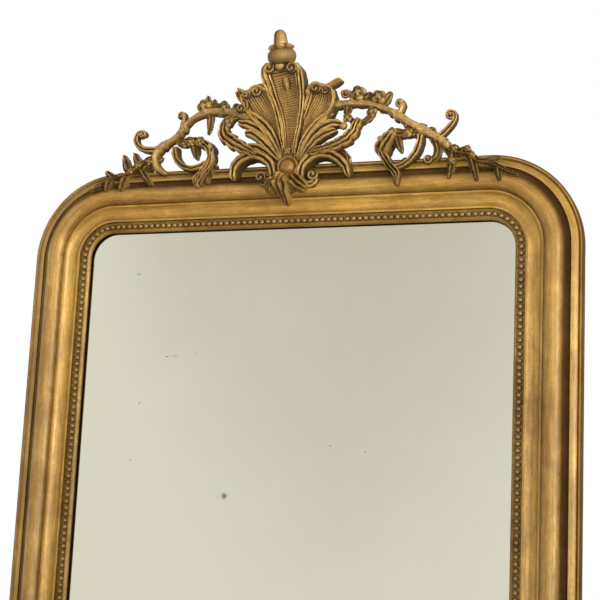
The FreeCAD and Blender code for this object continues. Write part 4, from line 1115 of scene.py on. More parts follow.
@dataclass
class Limb:
    """Carved limb along a smooth curve through stations of x, z and girth shares.

    Attributes:
        rows: Stations in shares of the half span, of the rise and of the girth.
        girth: Full width in millimetres at a share of 1.
        depth: Height over its seat at a share of 1.
        carving: Shape of its front.
        climb: Extra height of the front for each millimetre below the frame's top.
        scallops: Teeth along each edge.
        notch: Depth of a tooth as a share of the half width.
        tip_depth: Share of the depth that is left where the girth goes to nothing.
        knots: Swellings along the limb.
        tone: Relief that is added to the whole limb.
        across: Points across the front.
        blunt: Share of an end's rounding that stays a small flat face.
        pace: Millimetres between two sections.
        swelling: Growth of the girth at a knot.
        waver: Unevenness of the carver's hand, in metres.
        waver_pitch: Metres between two waves of it.
    """

    FEWEST, MOST = 18, 220

    rows: Stations
    girth: float
    depth: float
    carving: Carving = Carving.STEM
    climb: float = 0.0
    scallops: float = 0.0
    notch: float = 0.34
    tip_depth: float = 0.6
    knots: float = 0.0
    tone: float = 0.0
    across: int = 25
    blunt: float = 0.01
    pace: float = 0.9
    swelling: float = 0.16
    waver: float = 0.00045
    waver_pitch: float = 0.015

    def front(self) -> tuple[Array, Array, Array]:
        """Front of the limb across its width.

        A stem is a round with two faint grooves; a leaf has a raised vein and lifted edges; a roll has two
        rounds with a groove between them; a flute has three; a rib is one tall narrow round.

        Returns:
            Offsets from -1 to 1, heights from 0 to 1 and relief.
        """
        # The relief lights the raised parts and darkens the grooves and edges, as painted highlight and shade.
        v = np.linspace(-1, 1, self.across)
        a = np.abs(v)
        edge = np.sqrt(np.clip(1 - a**8, 0, 1))
        if self.carving is Carving.LEAF:
            vein = np.exp(-((v / 0.17) ** 2))
            height = edge * (0.46 + 0.34 * vein + 0.20 * a**2)
            relief = 0.26 + 0.66 * vein + 0.52 * a**3
        elif self.carving is Carving.FLUTE:
            wave = np.abs(np.cos(1.5 * math.pi * v))
            height = edge * (0.62 + 0.36 * wave)
            relief = 0.08 + 0.86 * wave
        elif self.carving is Carving.ROLL:
            wave = np.sqrt(np.clip(1 - ((a - 0.52) / 0.48) ** 2, 0, 1))
            height = 0.58 + 0.42 * wave
            relief = 0.96 * wave**1.6
        elif self.carving is Carving.RIB:
            height = np.clip(1 - a**2.2, 0, 1) ** 0.6
            relief = 0.06 + 0.90 * height
        else:
            wave = np.cos(4 * math.pi * v)
            height = np.sqrt(np.clip(1 - a**2.4, 0, 1)) * (0.97 + 0.03 * wave)
            relief = 0.80 * np.sqrt(np.clip(1 - a**2, 0, 1)) + 0.06 * wave + 0.04
        return v, np.clip(height, 0, None), np.clip(relief, 0, 1)

    def grid(self, shape: CrestShape, seat: Seat) -> Grid:
        """Carry the section along the limb.

        A point is the curve's place, plus the side direction times the offset, at the seat's height plus the
        climb and the section's height. Both ends are closed by a quarter ellipse that brings the section down
        to a small face. Teeth rise slowly and fall off quickly; on a leaf a vein runs out to each of them.

        Args:
            shape: Sizes of the crest.
            seat: Height of the limb's back.

        Returns:
            The closed surface.
        """
        table = np.asarray(self.rows, float) * (shape.half_span, shape.rise, 1.0)
        length = np.linalg.norm(np.diff(table[:, :2], axis=0), axis=1).sum()
        count = int(np.clip(length / self.pace, self.FEWEST, self.MOST))
        along = spline(table, count)
        side, walked = sideways(along[:, :2]), walked_along(along[:, :2])
        part = walked / walked[-1]
        half = self.girth * np.clip(along[:, 2], 0.05, None) / 2
        half = half * (1 + self.swelling * np.abs(np.sin(math.pi * self.knots * part)) ** 8)
        tall = self.depth * (self.tip_depth + (1 - self.tip_depth) * np.minimum(along[:, 2], 1))
        near = np.minimum(walked / half[0], (walked[-1] - walked) / half[-1])
        close = np.sqrt(np.clip(1 - (1 - np.clip(near, self.blunt, 1)) ** 2, 0, 1))
        v, height, relief = self.front()
        offset = np.concatenate(([-1.0], v, [1.0, -1.0]))
        rise = np.concatenate(([0.0], height, [0.0, 0.0]))[None, :]
        shade = np.concatenate(([0.05], relief, [0.05, 0.05]))[None, :]
        raised = np.concatenate(([0.0], np.ones(self.across), [0.0, 0.0]))[None, :]
        edge = np.ones((count, len(offset)))
        if self.scallops:
            a = np.abs(offset)[None, :]
            phase = part[:, None] * self.scallops + np.where(offset < 0, 0.0, 0.4)[None, :]
            step = phase % 1.0
            saw = step**0.6 * np.sqrt(1 - step**10)
            edge = 1 - self.notch * (1 - saw)
            ripple = np.cos(math.tau * (phase - 0.45 * a)) * a
            rise = rise * (1 + 0.16 * ripple)
            shade = shade + 0.24 * ripple * raised
        spread = offset[None, :] * (half * close)[:, None] * edge
        x = along[:, :1] + side[:, :1] * spread
        z = along[:, 1:2] + side[:, 1:] * spread
        climb = self.climb * np.maximum(0, -along[:, 1])
        level = seat(x, z) + raised * (climb * close)[:, None] + rise * (tall * (0.35 + 0.65 * close))[:, None]
        points = close_ends(shape.place(x, level, z))
        points[1:-1] += hand_waver(points[1:-1], self.waver, self.waver_pitch)
        tone = np.clip(np.broadcast_to(shade + self.tone, (count, len(offset))), 0, 1)
        tone = np.concatenate([tone[:1], tone, tone[-1:]])
        far = np.concatenate(([0.0], walked, walked[-1:]))
        pattern = stacked(far[:, None], offset[None, :] * self.girth / 10) * MM
        return Grid(points, tone, pattern)


@dataclass
class Lobe:
    """Hollow shell lobe with rolled rims, from stations of x, z, width and depth shares."""

    rows: Sequence[tuple[float, float, float, float]]
    width: float
    depth: float
    ribs: float
    fan: float = 0.0
    across: int = 121
    along: int = 300

    def grid(self, shape: CrestShape) -> Grid:
        """Carry the fluted section along the lobe's spine.

        Across the lobe the height is a bowl with two rolls and a groove at each edge. Fine ribs, a sine of the
        way along and of the fan across, fill the bowl. The far end curls forward.

        Args:
            shape: Sizes of the crest.

        Returns:
            The closed surface.
        """
        table = np.asarray(self.rows, float) * (shape.half_span, shape.rise, 1.0, 1.0)
        path = spline(table, self.along)
        side = sideways(path[:, :2])
        t = np.linspace(0, 1, self.along)[:, None]
        u = np.linspace(-1, 1, self.across)[None, :]
        a = np.abs(u)
        outer = np.sqrt(np.clip(1 - ((a - 0.88) / 0.12) ** 2, 0, 1))
        inner = np.sqrt(np.clip(1 - ((a - 0.68) / 0.065) ** 2, 0, 1))
        groove = np.exp(-(((a - 0.755) / 0.025) ** 2)) + np.exp(-(((a - 0.60) / 0.03) ** 2))
        bowl = 0.46 + 0.14 * a**2
        hollow = smooth_step(0.60, 0.54, a) * smooth_step(0.10, 0.26, t) * smooth_step(0.98, 0.92, t)
        rib = np.sin(math.tau * (self.ribs * t + self.fan * u))
        height = bowl + 0.42 * outer + 0.26 * inner + 0.045 * rib * hollow
        # Painted shade in the grooves, near the base and over the curled end; painted highlight on the rims.
        relief = 0.76 + 0.30 * outer + 0.24 * inner - 0.68 * groove + 0.26 * rib * hollow
        relief = relief - 0.22 * smooth_step(0.35, 0.0, t) - 0.25 * smooth_step(0.86, 0.97, t) * (1 - outer)
        height = height + 0.35 * smooth_step(0.80, 1.0, t) ** 2 * (1 - 0.3 * a)
        offset = np.concatenate([[-1.0], u[0], [1.0, -1.0]])
        pad = np.zeros((self.along, 1))
        rise = np.concatenate([pad, height, pad, pad], axis=1)
        shade = np.concatenate([pad, relief, pad, pad], axis=1)
        half = self.width * path[:, 2] / 2
        near = np.minimum((1 - t[:, 0]) * self.along / 11.0, 1)
        close = np.sqrt(np.clip(1 - (1 - near) ** 2, 0, 1))
        spread = offset[None, :] * (half * (0.55 + 0.45 * close))[:, None]
        x = path[:, :1] + side[:, :1] * spread
        z = path[:, 1:2] + side[:, 1:] * spread
        level = shape.shell_seat(x, z) + rise * (self.depth * path[:, 3])[:, None]
        points = close_ends(shape.place(x, level, z))
        shade = np.clip(np.concatenate([shade[:1], shade, shade[-1:]]), 0, 1)
        far = np.concatenate([[0.0], t[:, 0], [1.0]]) * shape.rise
        pattern = stacked(far[:, None], offset[None, :] * self.width / 2) * MM
        return Grid(points, shade, pattern)


@dataclass
class TurnedPiece:
    """Round piece from an outline of radius and height, turned about an axis."""

    outline: Sequence[tuple[float, float]]
    sides: int = 64
    lobes: int = 0
    lobe_depth: float = 0.0
    tone: float = 0.0

    def grid(self, centre: Array, tilt: Matrix) -> Grid:
        """Turn the spline through the outline; hollows between lobes draw the radius in by a sine of the turn.

        Args:
            centre: Place of the outline's origin in metres.
            tilt: Turn that brings the local up axis to its direction.

        Returns:
            The closed surface.
        """
        line = spline(np.asarray(self.outline, float), 8 * len(self.outline))
        turn = np.linspace(0, math.tau, self.sides + 1)[None, :]
        dip = 1 - np.abs(np.sin(turn * self.lobes / 2)) if self.lobes else 0 * turn
        radius = np.clip(line[:, :1], 0, None) * (1 - self.lobe_depth * dip)
        local = stacked(radius * np.cos(turn), radius * np.sin(turn), line[:, 1:]) * MM
        points = local @ np.asarray(tilt.to_3x3()).T + centre
        # Painted shade and highlight: lighter where the outline is wide, darker where it is narrow and in the hollows
        # between lobes.
        relief = 0.55 + 0.35 * np.tanh((line[:, :1] - line[:, 0].mean()) / (line[:, 0].std() + TINY))
        relief = np.clip(relief + self.tone - 0.55 * dip**2, 0, 1)
        pattern = stacked(line[:, 1:] * MM, turn * 0.01)
        return Grid(points, relief, pattern)


@dataclass
class CrestCarver:
    """Makes limbs, thorns, buds and flowers on the crest's seats, all placed by shares."""

    shape: CrestShape = field(default_factory=CrestShape)
    climb: float = 0.55
    rail_depth: float = 22.0
    branch_depth: float = 14.0
    girth: float = 12.0

    def branch(self, rows: Stations, carving: Carving = Carving.STEM, scallops: float = 0.0,
               knots: float = 0.0) -> Grid:
        """Limb of a branch on the branch seat."""
        limb = Limb(rows, self.girth, self.branch_depth, carving, 0.0, scallops, knots=knots)
        return limb.grid(self.shape, self.shape.branch_seat)

    def rail(self, rows: Stations, carving: Carving, scallops: float = 0.0, climbs: bool = True,
             knots: float = 0.0) -> Grid:
        """Limb that lies on the top rail and climbs, or not, towards the front below the frame's top."""
        limb = Limb(rows, self.girth, self.rail_depth, carving, climbs * self.climb, scallops, knots=knots)
        return limb.grid(self.shape, self.shape.rail_seat)

    def on_shell(self, rows: Stations, carving: Carving, girth: float, depth: float, tone: float = 0.0) -> Grid:
        """Limb on the shell's leaning back."""
        return Limb(rows, girth, depth, carving, tone=tone).grid(self.shape, self.shape.shell_seat)

    @staticmethod
    def leaf_rows(base: Share, tip: Share, shares: Station = (0.75, 1.0, 0.30)) -> list[Station]:
        """Stations of a pointed leaf from its base to its tip."""
        middle = ((base[0] + tip[0]) / 2, (base[1] + tip[1]) / 2)
        return [(*place, share) for place, share in zip((base, middle, tip), shares)]

    def bud(self, place: Share, seat: Seat, depth: float, radius: float, squat: float = 0.85) -> Grid:
        """Round bud: a ball whose depth is a share of its width.

        Args:
            place: Shares of the half span and of the rise.
            seat: Height of the limb's back under it.
            depth: Height of the bud's middle over the seat.
            radius: Radius in millimetres.
            squat: Depth as a share of the width.

        Returns:
            The closed surface.
        """
        lift = np.linspace(-math.pi / 2, math.pi / 2, 15)[:, None]
        turn = np.linspace(0, math.tau, 33)[None, :]
        # Painted shade on the underside and painted highlight on the top.
        relief = np.clip(0.34 + 0.56 * np.sin(lift), 0, 1)
        return self.rounded(place, seat, depth, radius * np.cos(lift), turn, radius * squat * np.sin(lift), relief)

    def eye(self, place: Share, seat: Seat, depth: float, radius: float, way: float = 1.0) -> Grid:
        """Eye of a volute: a flat button with a groove that winds to its middle.

        The groove is the cosine of the turn less the way in from the edge, so it winds by one turn and a quarter.

        Args:
            place, seat, depth, radius: As for a bud.
            way: 1 winds one way, -1 the other.

        Returns:
            The closed surface.
        """
        lift = np.linspace(-math.pi / 2, math.pi / 2, 27)[:, None]
        turn = np.linspace(0, math.tau, 45)[None, :]
        out = np.cos(lift)
        wave = np.cos(way * turn - 1.25 * math.tau * (1 - out)) * smooth_step(0.0, 0.25, out) * (lift > 0)
        rise = radius * (0.62 * np.sign(lift) * np.abs(np.sin(lift)) ** 0.6 + 0.17 * wave)
        # Painted shade on the underside and in the groove.
        relief = np.clip(0.40 + 0.42 * wave - 0.4 * smooth_step(0.3, 0.0, lift), 0, 1)
        return self.rounded(place, seat, depth, radius * out, turn, rise, relief)

    def flower(self, place: Share, seat: Seat, depth: float, radius: float, petals: int = 5,
               start: float = 0.4) -> Grid:
        """Open flower: a flattened ball whose radius swells into petals, with a dip round its middle bead.

        Args:
            place, seat, depth, radius: As for a bud.
            petals: Number of petals.
            start: Turn of the first petal in radians.

        Returns:
            The closed surface.
        """
        lift = np.linspace(-math.pi / 2, math.pi / 2, 21)[:, None]
        turn = np.linspace(0, math.tau, 61)[None, :]
        petal = np.abs(np.cos((turn - start) * petals / 2)) ** 0.7 * (0.8 + 0.2 * np.cos(turn + 3 * start))
        ring = np.exp(-(((lift - 1.02) / 0.24) ** 2))
        bead = np.exp(-(((lift - math.pi / 2) / 0.30) ** 2))
        flat = radius * np.cos(lift) * (1 + (0.40 * petal - 0.24) * np.sqrt(np.clip(np.cos(lift), 0, 1)))
        rise = radius * (0.80 * np.sin(lift) - 0.15 * ring + 0.02 * bead + 0.16 * petal * np.cos(lift))
        # Painted shade in the ring and on the underside, painted highlight on the petals and the bead.
        relief = 0.34 + 0.50 * petal - 0.24 * ring + 0.20 * bead - 0.5 * smooth_step(0.2, -0.3, lift)
        return self.rounded(place, seat, depth, flat, turn, rise, np.clip(relief, 0, 1))

    def rounded(self, place: Share, seat: Seat, depth: float, flat: Array, turn: Array, rise: Array,
                relief: Array) -> Grid:
        """Surface from a radius, a turn and a rise at every grid point, set on a seat.

        Args:
            place, seat, depth: As for a bud.
            flat: Radius in millimetres.
            turn: Turn in radians.
            rise: Height over the middle in millimetres.
            relief: Relief of every point.

        Returns:
            The closed surface.
        """
        x, z = place[0] * self.shape.half_span, place[1] * self.shape.rise
        height = float(seat(np.array(x), np.array(z))) + depth + self.rail_climb(seat, z)
        points = self.shape.place(x + flat * np.cos(turn), height + rise, z + flat * np.sin(turn))
        return Grid(points, np.broadcast_to(relief, points.shape[:2]), stacked(rise * MM, flat * turn * MM))

    def rail_climb(self, seat: Seat, z: float) -> float:
        """Extra height of what lies on the top rail below the frame's top."""
        return self.climb * max(0.0, -z) if seat == self.shape.rail_seat else 0.0


@dataclass
class CrestPart:
    """Group of carved pieces that stand for the CAD nodes of the same names."""

    carver: CrestCarver

    def pieces(self) -> Carved:
        """Grids of each piece by its name."""
        raise NotImplementedError

    def build(self, finish: Material) -> None:
        """Make and dress the pieces.

        Args:
            finish: Gilding of the carving.
        """
        for name, grids in self.pieces().items():
            settle(piece_from_grids("carved_" + name, grids), finish, "carved_gilt", "crest_" + name)


@dataclass
class ShellLobes(CrestPart):
    """Three hollow lobes of the shell with rolled rims, volutes and a hanging drop."""

    centre_width: float = 62.0
    side_width: float = 42.0
    depth: float = 18.0

    CENTRE = ((-.008, -.010, .24, .85), (-.003, .210, .38, .90), (-.006, .378, .58, .95), (-.018, .500, .76, 1.0),
              (-.030, .605, .86, 1.08), (-.037, .680, .84, 1.22), (-.038, .722, .56, 1.15))
    LEFT = ((-.030, -.005, .30, .80), (-.088, .216, .55, .85), (-.124, .350, .90, .90), (-.156, .460, 1.12, 1.0),
            (-.176, .535, 1.0, 1.12))
    RIGHT = ((.010, -.005, .27, .80), (.060, .216, .50, .85), (.102, .335, .80, .90), (.138, .440, 1.02, 1.0),
             (.148, .520, .86, 1.12))
    CENTRE_RIMS = (((-.030, .045, .50), (-.045, .210, .67), (-.064, .370, .80), (-.092, .495, .90),
                    (-.114, .595, 1.0), (-.119, .665, 1.0), (-.100, .708, .95), (-.082, .690, .75)),
                   ((.010, .045, .50), (.034, .210, .70), (.054, .380, .80), (.058, .500, .90), (.053, .600, 1.0),
                    (.044, .665, 1.0), (.022, .700, .95), (.006, .682, .75)))
    LEFT_RIM = ((-.106, .520, .75), (-.138, .549, .85), (-.168, .550, .88), (-.190, .522, .80), (-.208, .512, .75),
                (-.226, .532, .78), (-.252, .551, .60))
    LEFT_SIDE = ((-.251, .545, .55), (-.242, .505, .75), (-.222, .466, .80), (-.205, .440, .80), (-.210, .404, .70),
                 (-.236, .404, .60))
    RIGHT_RIM = ((.078, .462, .70), (.094, .520, .85), (.124, .545, .95), (.150, .530, .85), (.176, .518, .80),
                 (.192, .508, .60))
    RIGHT_SIDE = ((.186, .525, .70), (.192, .480, .85), (.200, .408, .90), (.186, .342, .80), (.164, .285, .60))
    HORN = ((.160, .516, 1.1), (.188, .540, 1.0), (.212, .562, .95), (.234, .582, .85))
    DROP = ((-.030, .650, .35), (-.022, .576, 1.15), (-.017, .520, .45), (-.011, .396, .18))
    DROP_LAYERS = ((17.0, 11.4, -0.6), (11.0, 14.0, 0.1))

    def centre(self) -> list[Grid]:
        """Grids of the middle lobe: bowl, rims, volutes and drop.

        Returns:
            The closed surfaces.
        """
        seat, carver = self.carver.shape.shell_seat, self.carver
        grids = [Lobe(self.CENTRE, self.centre_width, self.depth, 40).grid(carver.shape)]
        grids += [carver.on_shell(rows, Carving.ROLL, 9.6, 21.0) for rows in self.CENTRE_RIMS]
        grids += [carver.eye((-.092, .684), seat, 19.0, 8.0, -1.0), carver.eye((.012, .672), seat, 19.0, 8.0)]
        grids += [carver.bud((-.042, .698), seat, 19.0, 7.4, 0.8), carver.flower((-.015, .070), seat, 17.0, 5.0, 5)]
        return grids + [carver.on_shell(self.DROP, Carving.RIB, *layer) for layer in self.DROP_LAYERS]

    def left(self) -> list[Grid]:
        """Grids of the left lobe: bowl, curled top and wavy side.

        Returns:
            The closed surfaces.
        """
        seat, carver = self.carver.shape.shell_seat, self.carver
        return [Lobe(self.LEFT, self.side_width, self.depth, 4, -6.5).grid(carver.shape),
                carver.on_shell(self.LEFT_RIM, Carving.RIB, 12.0, 24.5),
                carver.on_shell(self.LEFT_SIDE, Carving.ROLL, 11.0, 22.0),
                carver.eye((-.204, .500), seat, 17.0, 7.0), carver.eye((-.156, .522), seat, 16.0, 7.4, -1.0),
                carver.eye((-.230, .402), seat, 16.0, 7.0)]

    def right(self) -> list[Grid]:
        """Grids of the right lobe: bowl, curled top, horn and rounded side.

        Returns:
            The closed surfaces.
        """
        seat, carver = self.carver.shape.shell_seat, self.carver
        return [Lobe(self.RIGHT, self.side_width, self.depth, 5, 6.5).grid(carver.shape),
                carver.on_shell(self.RIGHT_RIM, Carving.RIB, 12.0, 24.5),
                carver.on_shell(self.RIGHT_SIDE, Carving.RIB, 11.0, 16.0, -0.45),
                carver.on_shell(self.HORN, Carving.RIB, 6.8, 22.0),
                carver.eye((.122, .514), seat, 17.0, 7.6), carver.eye((.162, .502), seat, 15.0, 5.6, -1.0)]

    def pieces(self) -> Carved:
        """Grids of the three lobes."""
        return {"shell_centre": self.centre(), "shell_left": self.left(), "shell_right": self.right()}


@dataclass
class Plumes(CrestPart):
    """Ribbed plumes that fan out from the boss below the side lobes."""

    girth: float = 12.0
    depth: float = 14.5

    LEFT = (((-.050, .030, .55), (-.085, .190, .90), (-.122, .275, 1.10), (-.178, .346, 1.15), (-.258, .415, .85)),
            ((-.050, .010, .60), (-.108, .175, 1.0), (-.150, .245, 1.15), (-.205, .292, 1.05), (-.256, .312, .70)),
            ((-.050, -.005, .65), (-.112, .115, 1.0), (-.160, .190, 1.10), (-.200, .226, .95), (-.226, .224, .60)),
            ((-.048, -.030, .75), (-.092, .030, 1.0), (-.138, .092, 1.0), (-.190, .128, .80), (-.222, .130, .45)))
    RIGHT = (((.026, .010, .60), (.060, .150, .95), (.104, .245, 1.05), (.150, .306, 1.0), (.196, .345, .55)),
             ((.028, .000, .65), (.072, .130, 1.05), (.114, .206, 1.25), (.166, .256, 1.20), (.212, .262, .85),
              (.240, .244, .60)),
             ((.032, -.010, .70), (.082, .095, 1.0), (.120, .158, 1.05), (.166, .196, .95), (.206, .218, .60)))

    def pieces(self) -> Carved:
        """Grids of the two plumes; the right one ends in a knob.

        Returns:
            The closed surfaces by the piece's name.
        """
        left, right = ([self.carver.on_shell(row, Carving.ROLL, self.girth, self.depth) for row in rows]
                       for rows in (self.LEFT, self.RIGHT))
        knob = self.carver.bud((.240, .238), self.carver.shape.shell_seat, 10.0, 5.6)
        return {"plume_left": left, "plume_right": right + [knob]}


@dataclass
class Scrolls(CrestPart):
    """Two C-scrolls that carry the shell on the top rail."""

    girth: float = 13.5
    depth: float = 24.0
    leaf_share: float = 0.72
    eye_sunk: float = 5.0
    eye_radius: float = 8.2

    LEFT = ((-.265, -.135, .65), (-.265, -.050, .90), (-.245, .005, 1.05), (-.210, .040, 1.05), (-.165, .050, 1.05),
            (-.120, .020, 1.05), (-.090, -.030, 1.0), (-.080, -.080, .90), (-.080, -.130, .80), (-.098, -.172, .72),
            (-.124, -.172, .62), (-.132, -.130, .55))
    RIGHT = ((.268, -.145, .65), (.255, -.075, .90), (.230, -.025, 1.05), (.190, .020, 1.05), (.150, .035, 1.05),
             (.110, .025, 1.05), (.080, -.010, 1.0), (.058, -.060, .95), (.052, -.110, .90), (.060, -.160, .80),
             (.082, -.192, .75), (.108, -.190, .68), (.120, -.158, .60), (.110, -.128, .55))
    LEFT_LEAF = ((-.262, -.020, .50), (-.232, .055, .85), (-.190, .088, .95), (-.140, .085, .85), (-.095, .040, .50))
    RIGHT_LEAF = ((.262, -.040, .45), (.240, .040, .80), (.200, .072, .90), (.150, .080, .80), (.100, .055, .50))

    def scroll(self, rows: Stations, leaf: Stations, way: float) -> list[Grid]:
        """Grids of a scroll: a double roll, a leaf along its back and its eye.

        Args:
            rows: Stations of the roll.
            leaf: Stations of the leaf.
            way: Which way the eye winds, 1 or -1.

        Returns:
            The closed surfaces.
        """
        seat, shape = self.carver.shape.scroll_seat, self.carver.shape
        return [Limb(rows, self.girth, self.depth, Carving.ROLL).grid(shape, seat),
                Limb(leaf, self.girth, self.depth * self.leaf_share, Carving.LEAF, scallops=5).grid(shape, seat),
                self.carver.eye(rows[-1][:2], seat, self.depth - self.eye_sunk, self.eye_radius, way)]

    def pieces(self) -> Carved:
        """Grids of the two scrolls."""
        return {"scroll_left": self.scroll(self.LEFT, self.LEFT_LEAF, 1.0),
                "scroll_right": self.scroll(self.RIGHT, self.RIGHT_LEAF, -1.0)}


@dataclass
class Branches(CrestPart):
    """Flowering branches that run out from the shell above the top rail, and the leaves below them."""

    LEFT_STEM = ((-.190, .335, 1.20), (-.310, .410, 1.15), (-.425, .425, .95), (-.518, .362, .82), (-.573, .260, .95),
                 (-.635, .200, .92), (-.680, .108, .95), (-.662, .010, .82), (-.618, -.035, .68))
    LEFT_HOOK = ((-.655, .172, .85), (-.720, .168, .80), (-.763, .198, .72), (-.782, .255, .64), (-.767, .308, .66),
                 (-.745, .304, .70), (-.746, .278, .60))
    LEFT_CURL = ((-.550, .300, .95), (-.545, .360, .74), (-.541, .408, .72), (-.551, .438, .70), (-.564, .424, .62))
    LEFT_DROP = ((-.408, .415, 1.10), (-.406, .330, .80), (-.414, .250, .25))
    LEFT_LEAF = ((-.240, .375, .90), (-.312, .325, 1.50), (-.328, .250, 1.85), (-.296, .186, 2.05),
                 (-.248, .132, 1.85), (-.160, .050, 1.1))
    RIGHT_STEM = ((.165, .400, 1.10), (.245, .410, 1.0), (.325, .412, .95), (.440, .348, .82), (.530, .252, 1.0),
                  (.610, .176, 1.10), (.655, .132, 1.0), (.700, .060, .92))
    RIGHT_HOOK = ((.628, .120, .78), (.670, .165, .72), (.701, .220, .66), (.721, .275, .60), (.712, .322, .66),
                  (.692, .318, .70), (.694, .292, .60))
    RIGHT_FOOT = ((.614, .165, 1.0), (.646, .070, 1.0), (.640, -.005, .94), (.606, -.032, .72))
    LEFT_SHEATHS = (((-.515, .372, .55), (-.536, .330, 1.45), (-.560, .280, 1.30), (-.580, .235, .45)),
                    ((-.590, .240, .50), (-.634, .205, 1.55), (-.668, .160, 1.40), (-.694, .118, .45)),
                    ((-.250, .395, .50), (-.300, .412, 1.50), (-.350, .420, 1.35), (-.395, .422, .40)))
    RIGHT_SHEATHS = (((.428, .362, .50), (.462, .326, 1.50), (.492, .290, 1.35), (.520, .258, .45)),
                     ((.524, .262, .55), (.562, .222, 1.60), (.600, .186, 1.45), (.636, .150, .45)),
                     ((.640, .150, .50), (.664, .116, 1.40), (.684, .080, 1.20), (.700, .046, .45)))
    RIGHT_RINGLET = ((.264, .425, .85), (.252, .345, .90), (.272, .282, .86), (.312, .268, .84), (.349, .302, .86),
                     (.364, .390, .90))
    RIGHT_TOP_CURL = ((.278, .410, .90), (.270, .462, .74), (.252, .500, .74), (.232, .492, .70), (.236, .470, .60))
    RIGHT_CURL = ((.474, .310, 1.0), (.486, .356, .80), (.492, .396, .78), (.482, .422, .74), (.470, .406, .62))
    RIGHT_LEAF = ((.085, .030, 1.0), (.180, .074, 1.40), (.232, .112, 1.70), (.272, .166, 1.70), (.294, .230, 1.35),
                  (.308, .300, 1.0))

    def left(self) -> list[Grid]:
        """Grids of the left branch: stem, hook, curl, hanging leaf and a pointed flower cluster.

        Returns:
            The closed surfaces.
        """
        carver, seat = self.carver, self.carver.shape.branch_seat
        grids = [carver.branch(self.LEFT_STEM, Carving.STEM, knots=7), carver.branch(self.LEFT_HOOK, Carving.ROLL),
                 carver.branch(self.LEFT_CURL), carver.branch(self.LEFT_DROP, Carving.LEAF)]
        grids += [carver.eye(place, seat, 8.0, 6.2) for place in ((-.750, .290), (-.554, .424), (-.268, .436))]
        grids += [carver.branch(rows, Carving.RIB, 3) for rows in self.LEFT_SHEATHS]
        grids += [carver.branch(carver.leaf_rows(base, tip), Carving.LEAF) for base, tip in (
            ((-.424, .440), (-.426, .572)), ((-.440, .445), (-.462, .505)), ((-.400, .450), (-.388, .535)),
            ((-.632, .176), (-.655, .225)), ((-.355, .440), (-.332, .512)), ((-.520, .385), (-.535, .352)),
            ((-.418, .456), (-.328, .478)))]
        grids += [carver.flower(place, seat, depth, radius, 4, start) for place, depth, radius, start in (
            ((-.434, .472), 10.0, 10.4, 0.2), ((-.322, .440), 11.0, 7.6, 0.5), ((-.306, .326), 10.0, 7.4, 0.3))]
        return grids

    def right(self) -> list[Grid]:
        """Grids of the right branch: stem, hook, foot, ringlet, curls and flower clusters.

        Returns:
            The closed surfaces.
        """
        carver, seat = self.carver, self.carver.shape.branch_seat
        grids = [carver.branch(self.RIGHT_STEM, Carving.STEM, knots=6), carver.branch(self.RIGHT_HOOK, Carving.ROLL),
                 carver.branch(self.RIGHT_FOOT, Carving.LEAF), carver.branch(self.RIGHT_RINGLET, Carving.LEAF, 3),
                 carver.branch(self.RIGHT_TOP_CURL), carver.branch(self.RIGHT_CURL)]
        grids += [carver.eye(place, seat, 8.0, 6.4, -1.0)
                  for place in ((.700, .304), (.244, .484), (.480, .408), (.608, -.026))]
        grids += [carver.branch(rows, Carving.RIB, 3) for rows in self.RIGHT_SHEATHS]
        grids += [carver.branch(carver.leaf_rows(base, tip), Carving.LEAF) for base, tip in (
            ((.600, .170), (.632, .222)), ((.330, .430), (.352, .505)), ((.405, .400), (.440, .505)),
            ((.310, .450), (.292, .545)), ((.395, .420), (.404, .340)), ((.520, .262), (.505, .215)),
            ((.318, .452), (.376, .474)))]
        grids += [carver.flower(place, seat, depth, radius, 4, start) for place, depth, radius, start in (
            ((.302, .484), 10.0, 11.0, 0.3), ((.394, .452), 10.5, 10.2, 0.6), ((.362, .340), 9.0, 7.4, 0.2),
            ((.258, .300), 8.0, 6.6, 0.8))]
        return grids

    def pieces(self) -> Carved:
        """Grids of the branches and of the scalloped leaves."""
        left, right = ([self.carver.branch(rows, Carving.FLUTE, 6)] for rows in (self.LEFT_LEAF, self.RIGHT_LEAF))
        return {"branch_left": self.left(), "leaf_left": left, "branch_right": self.right(), "leaf_right": right}


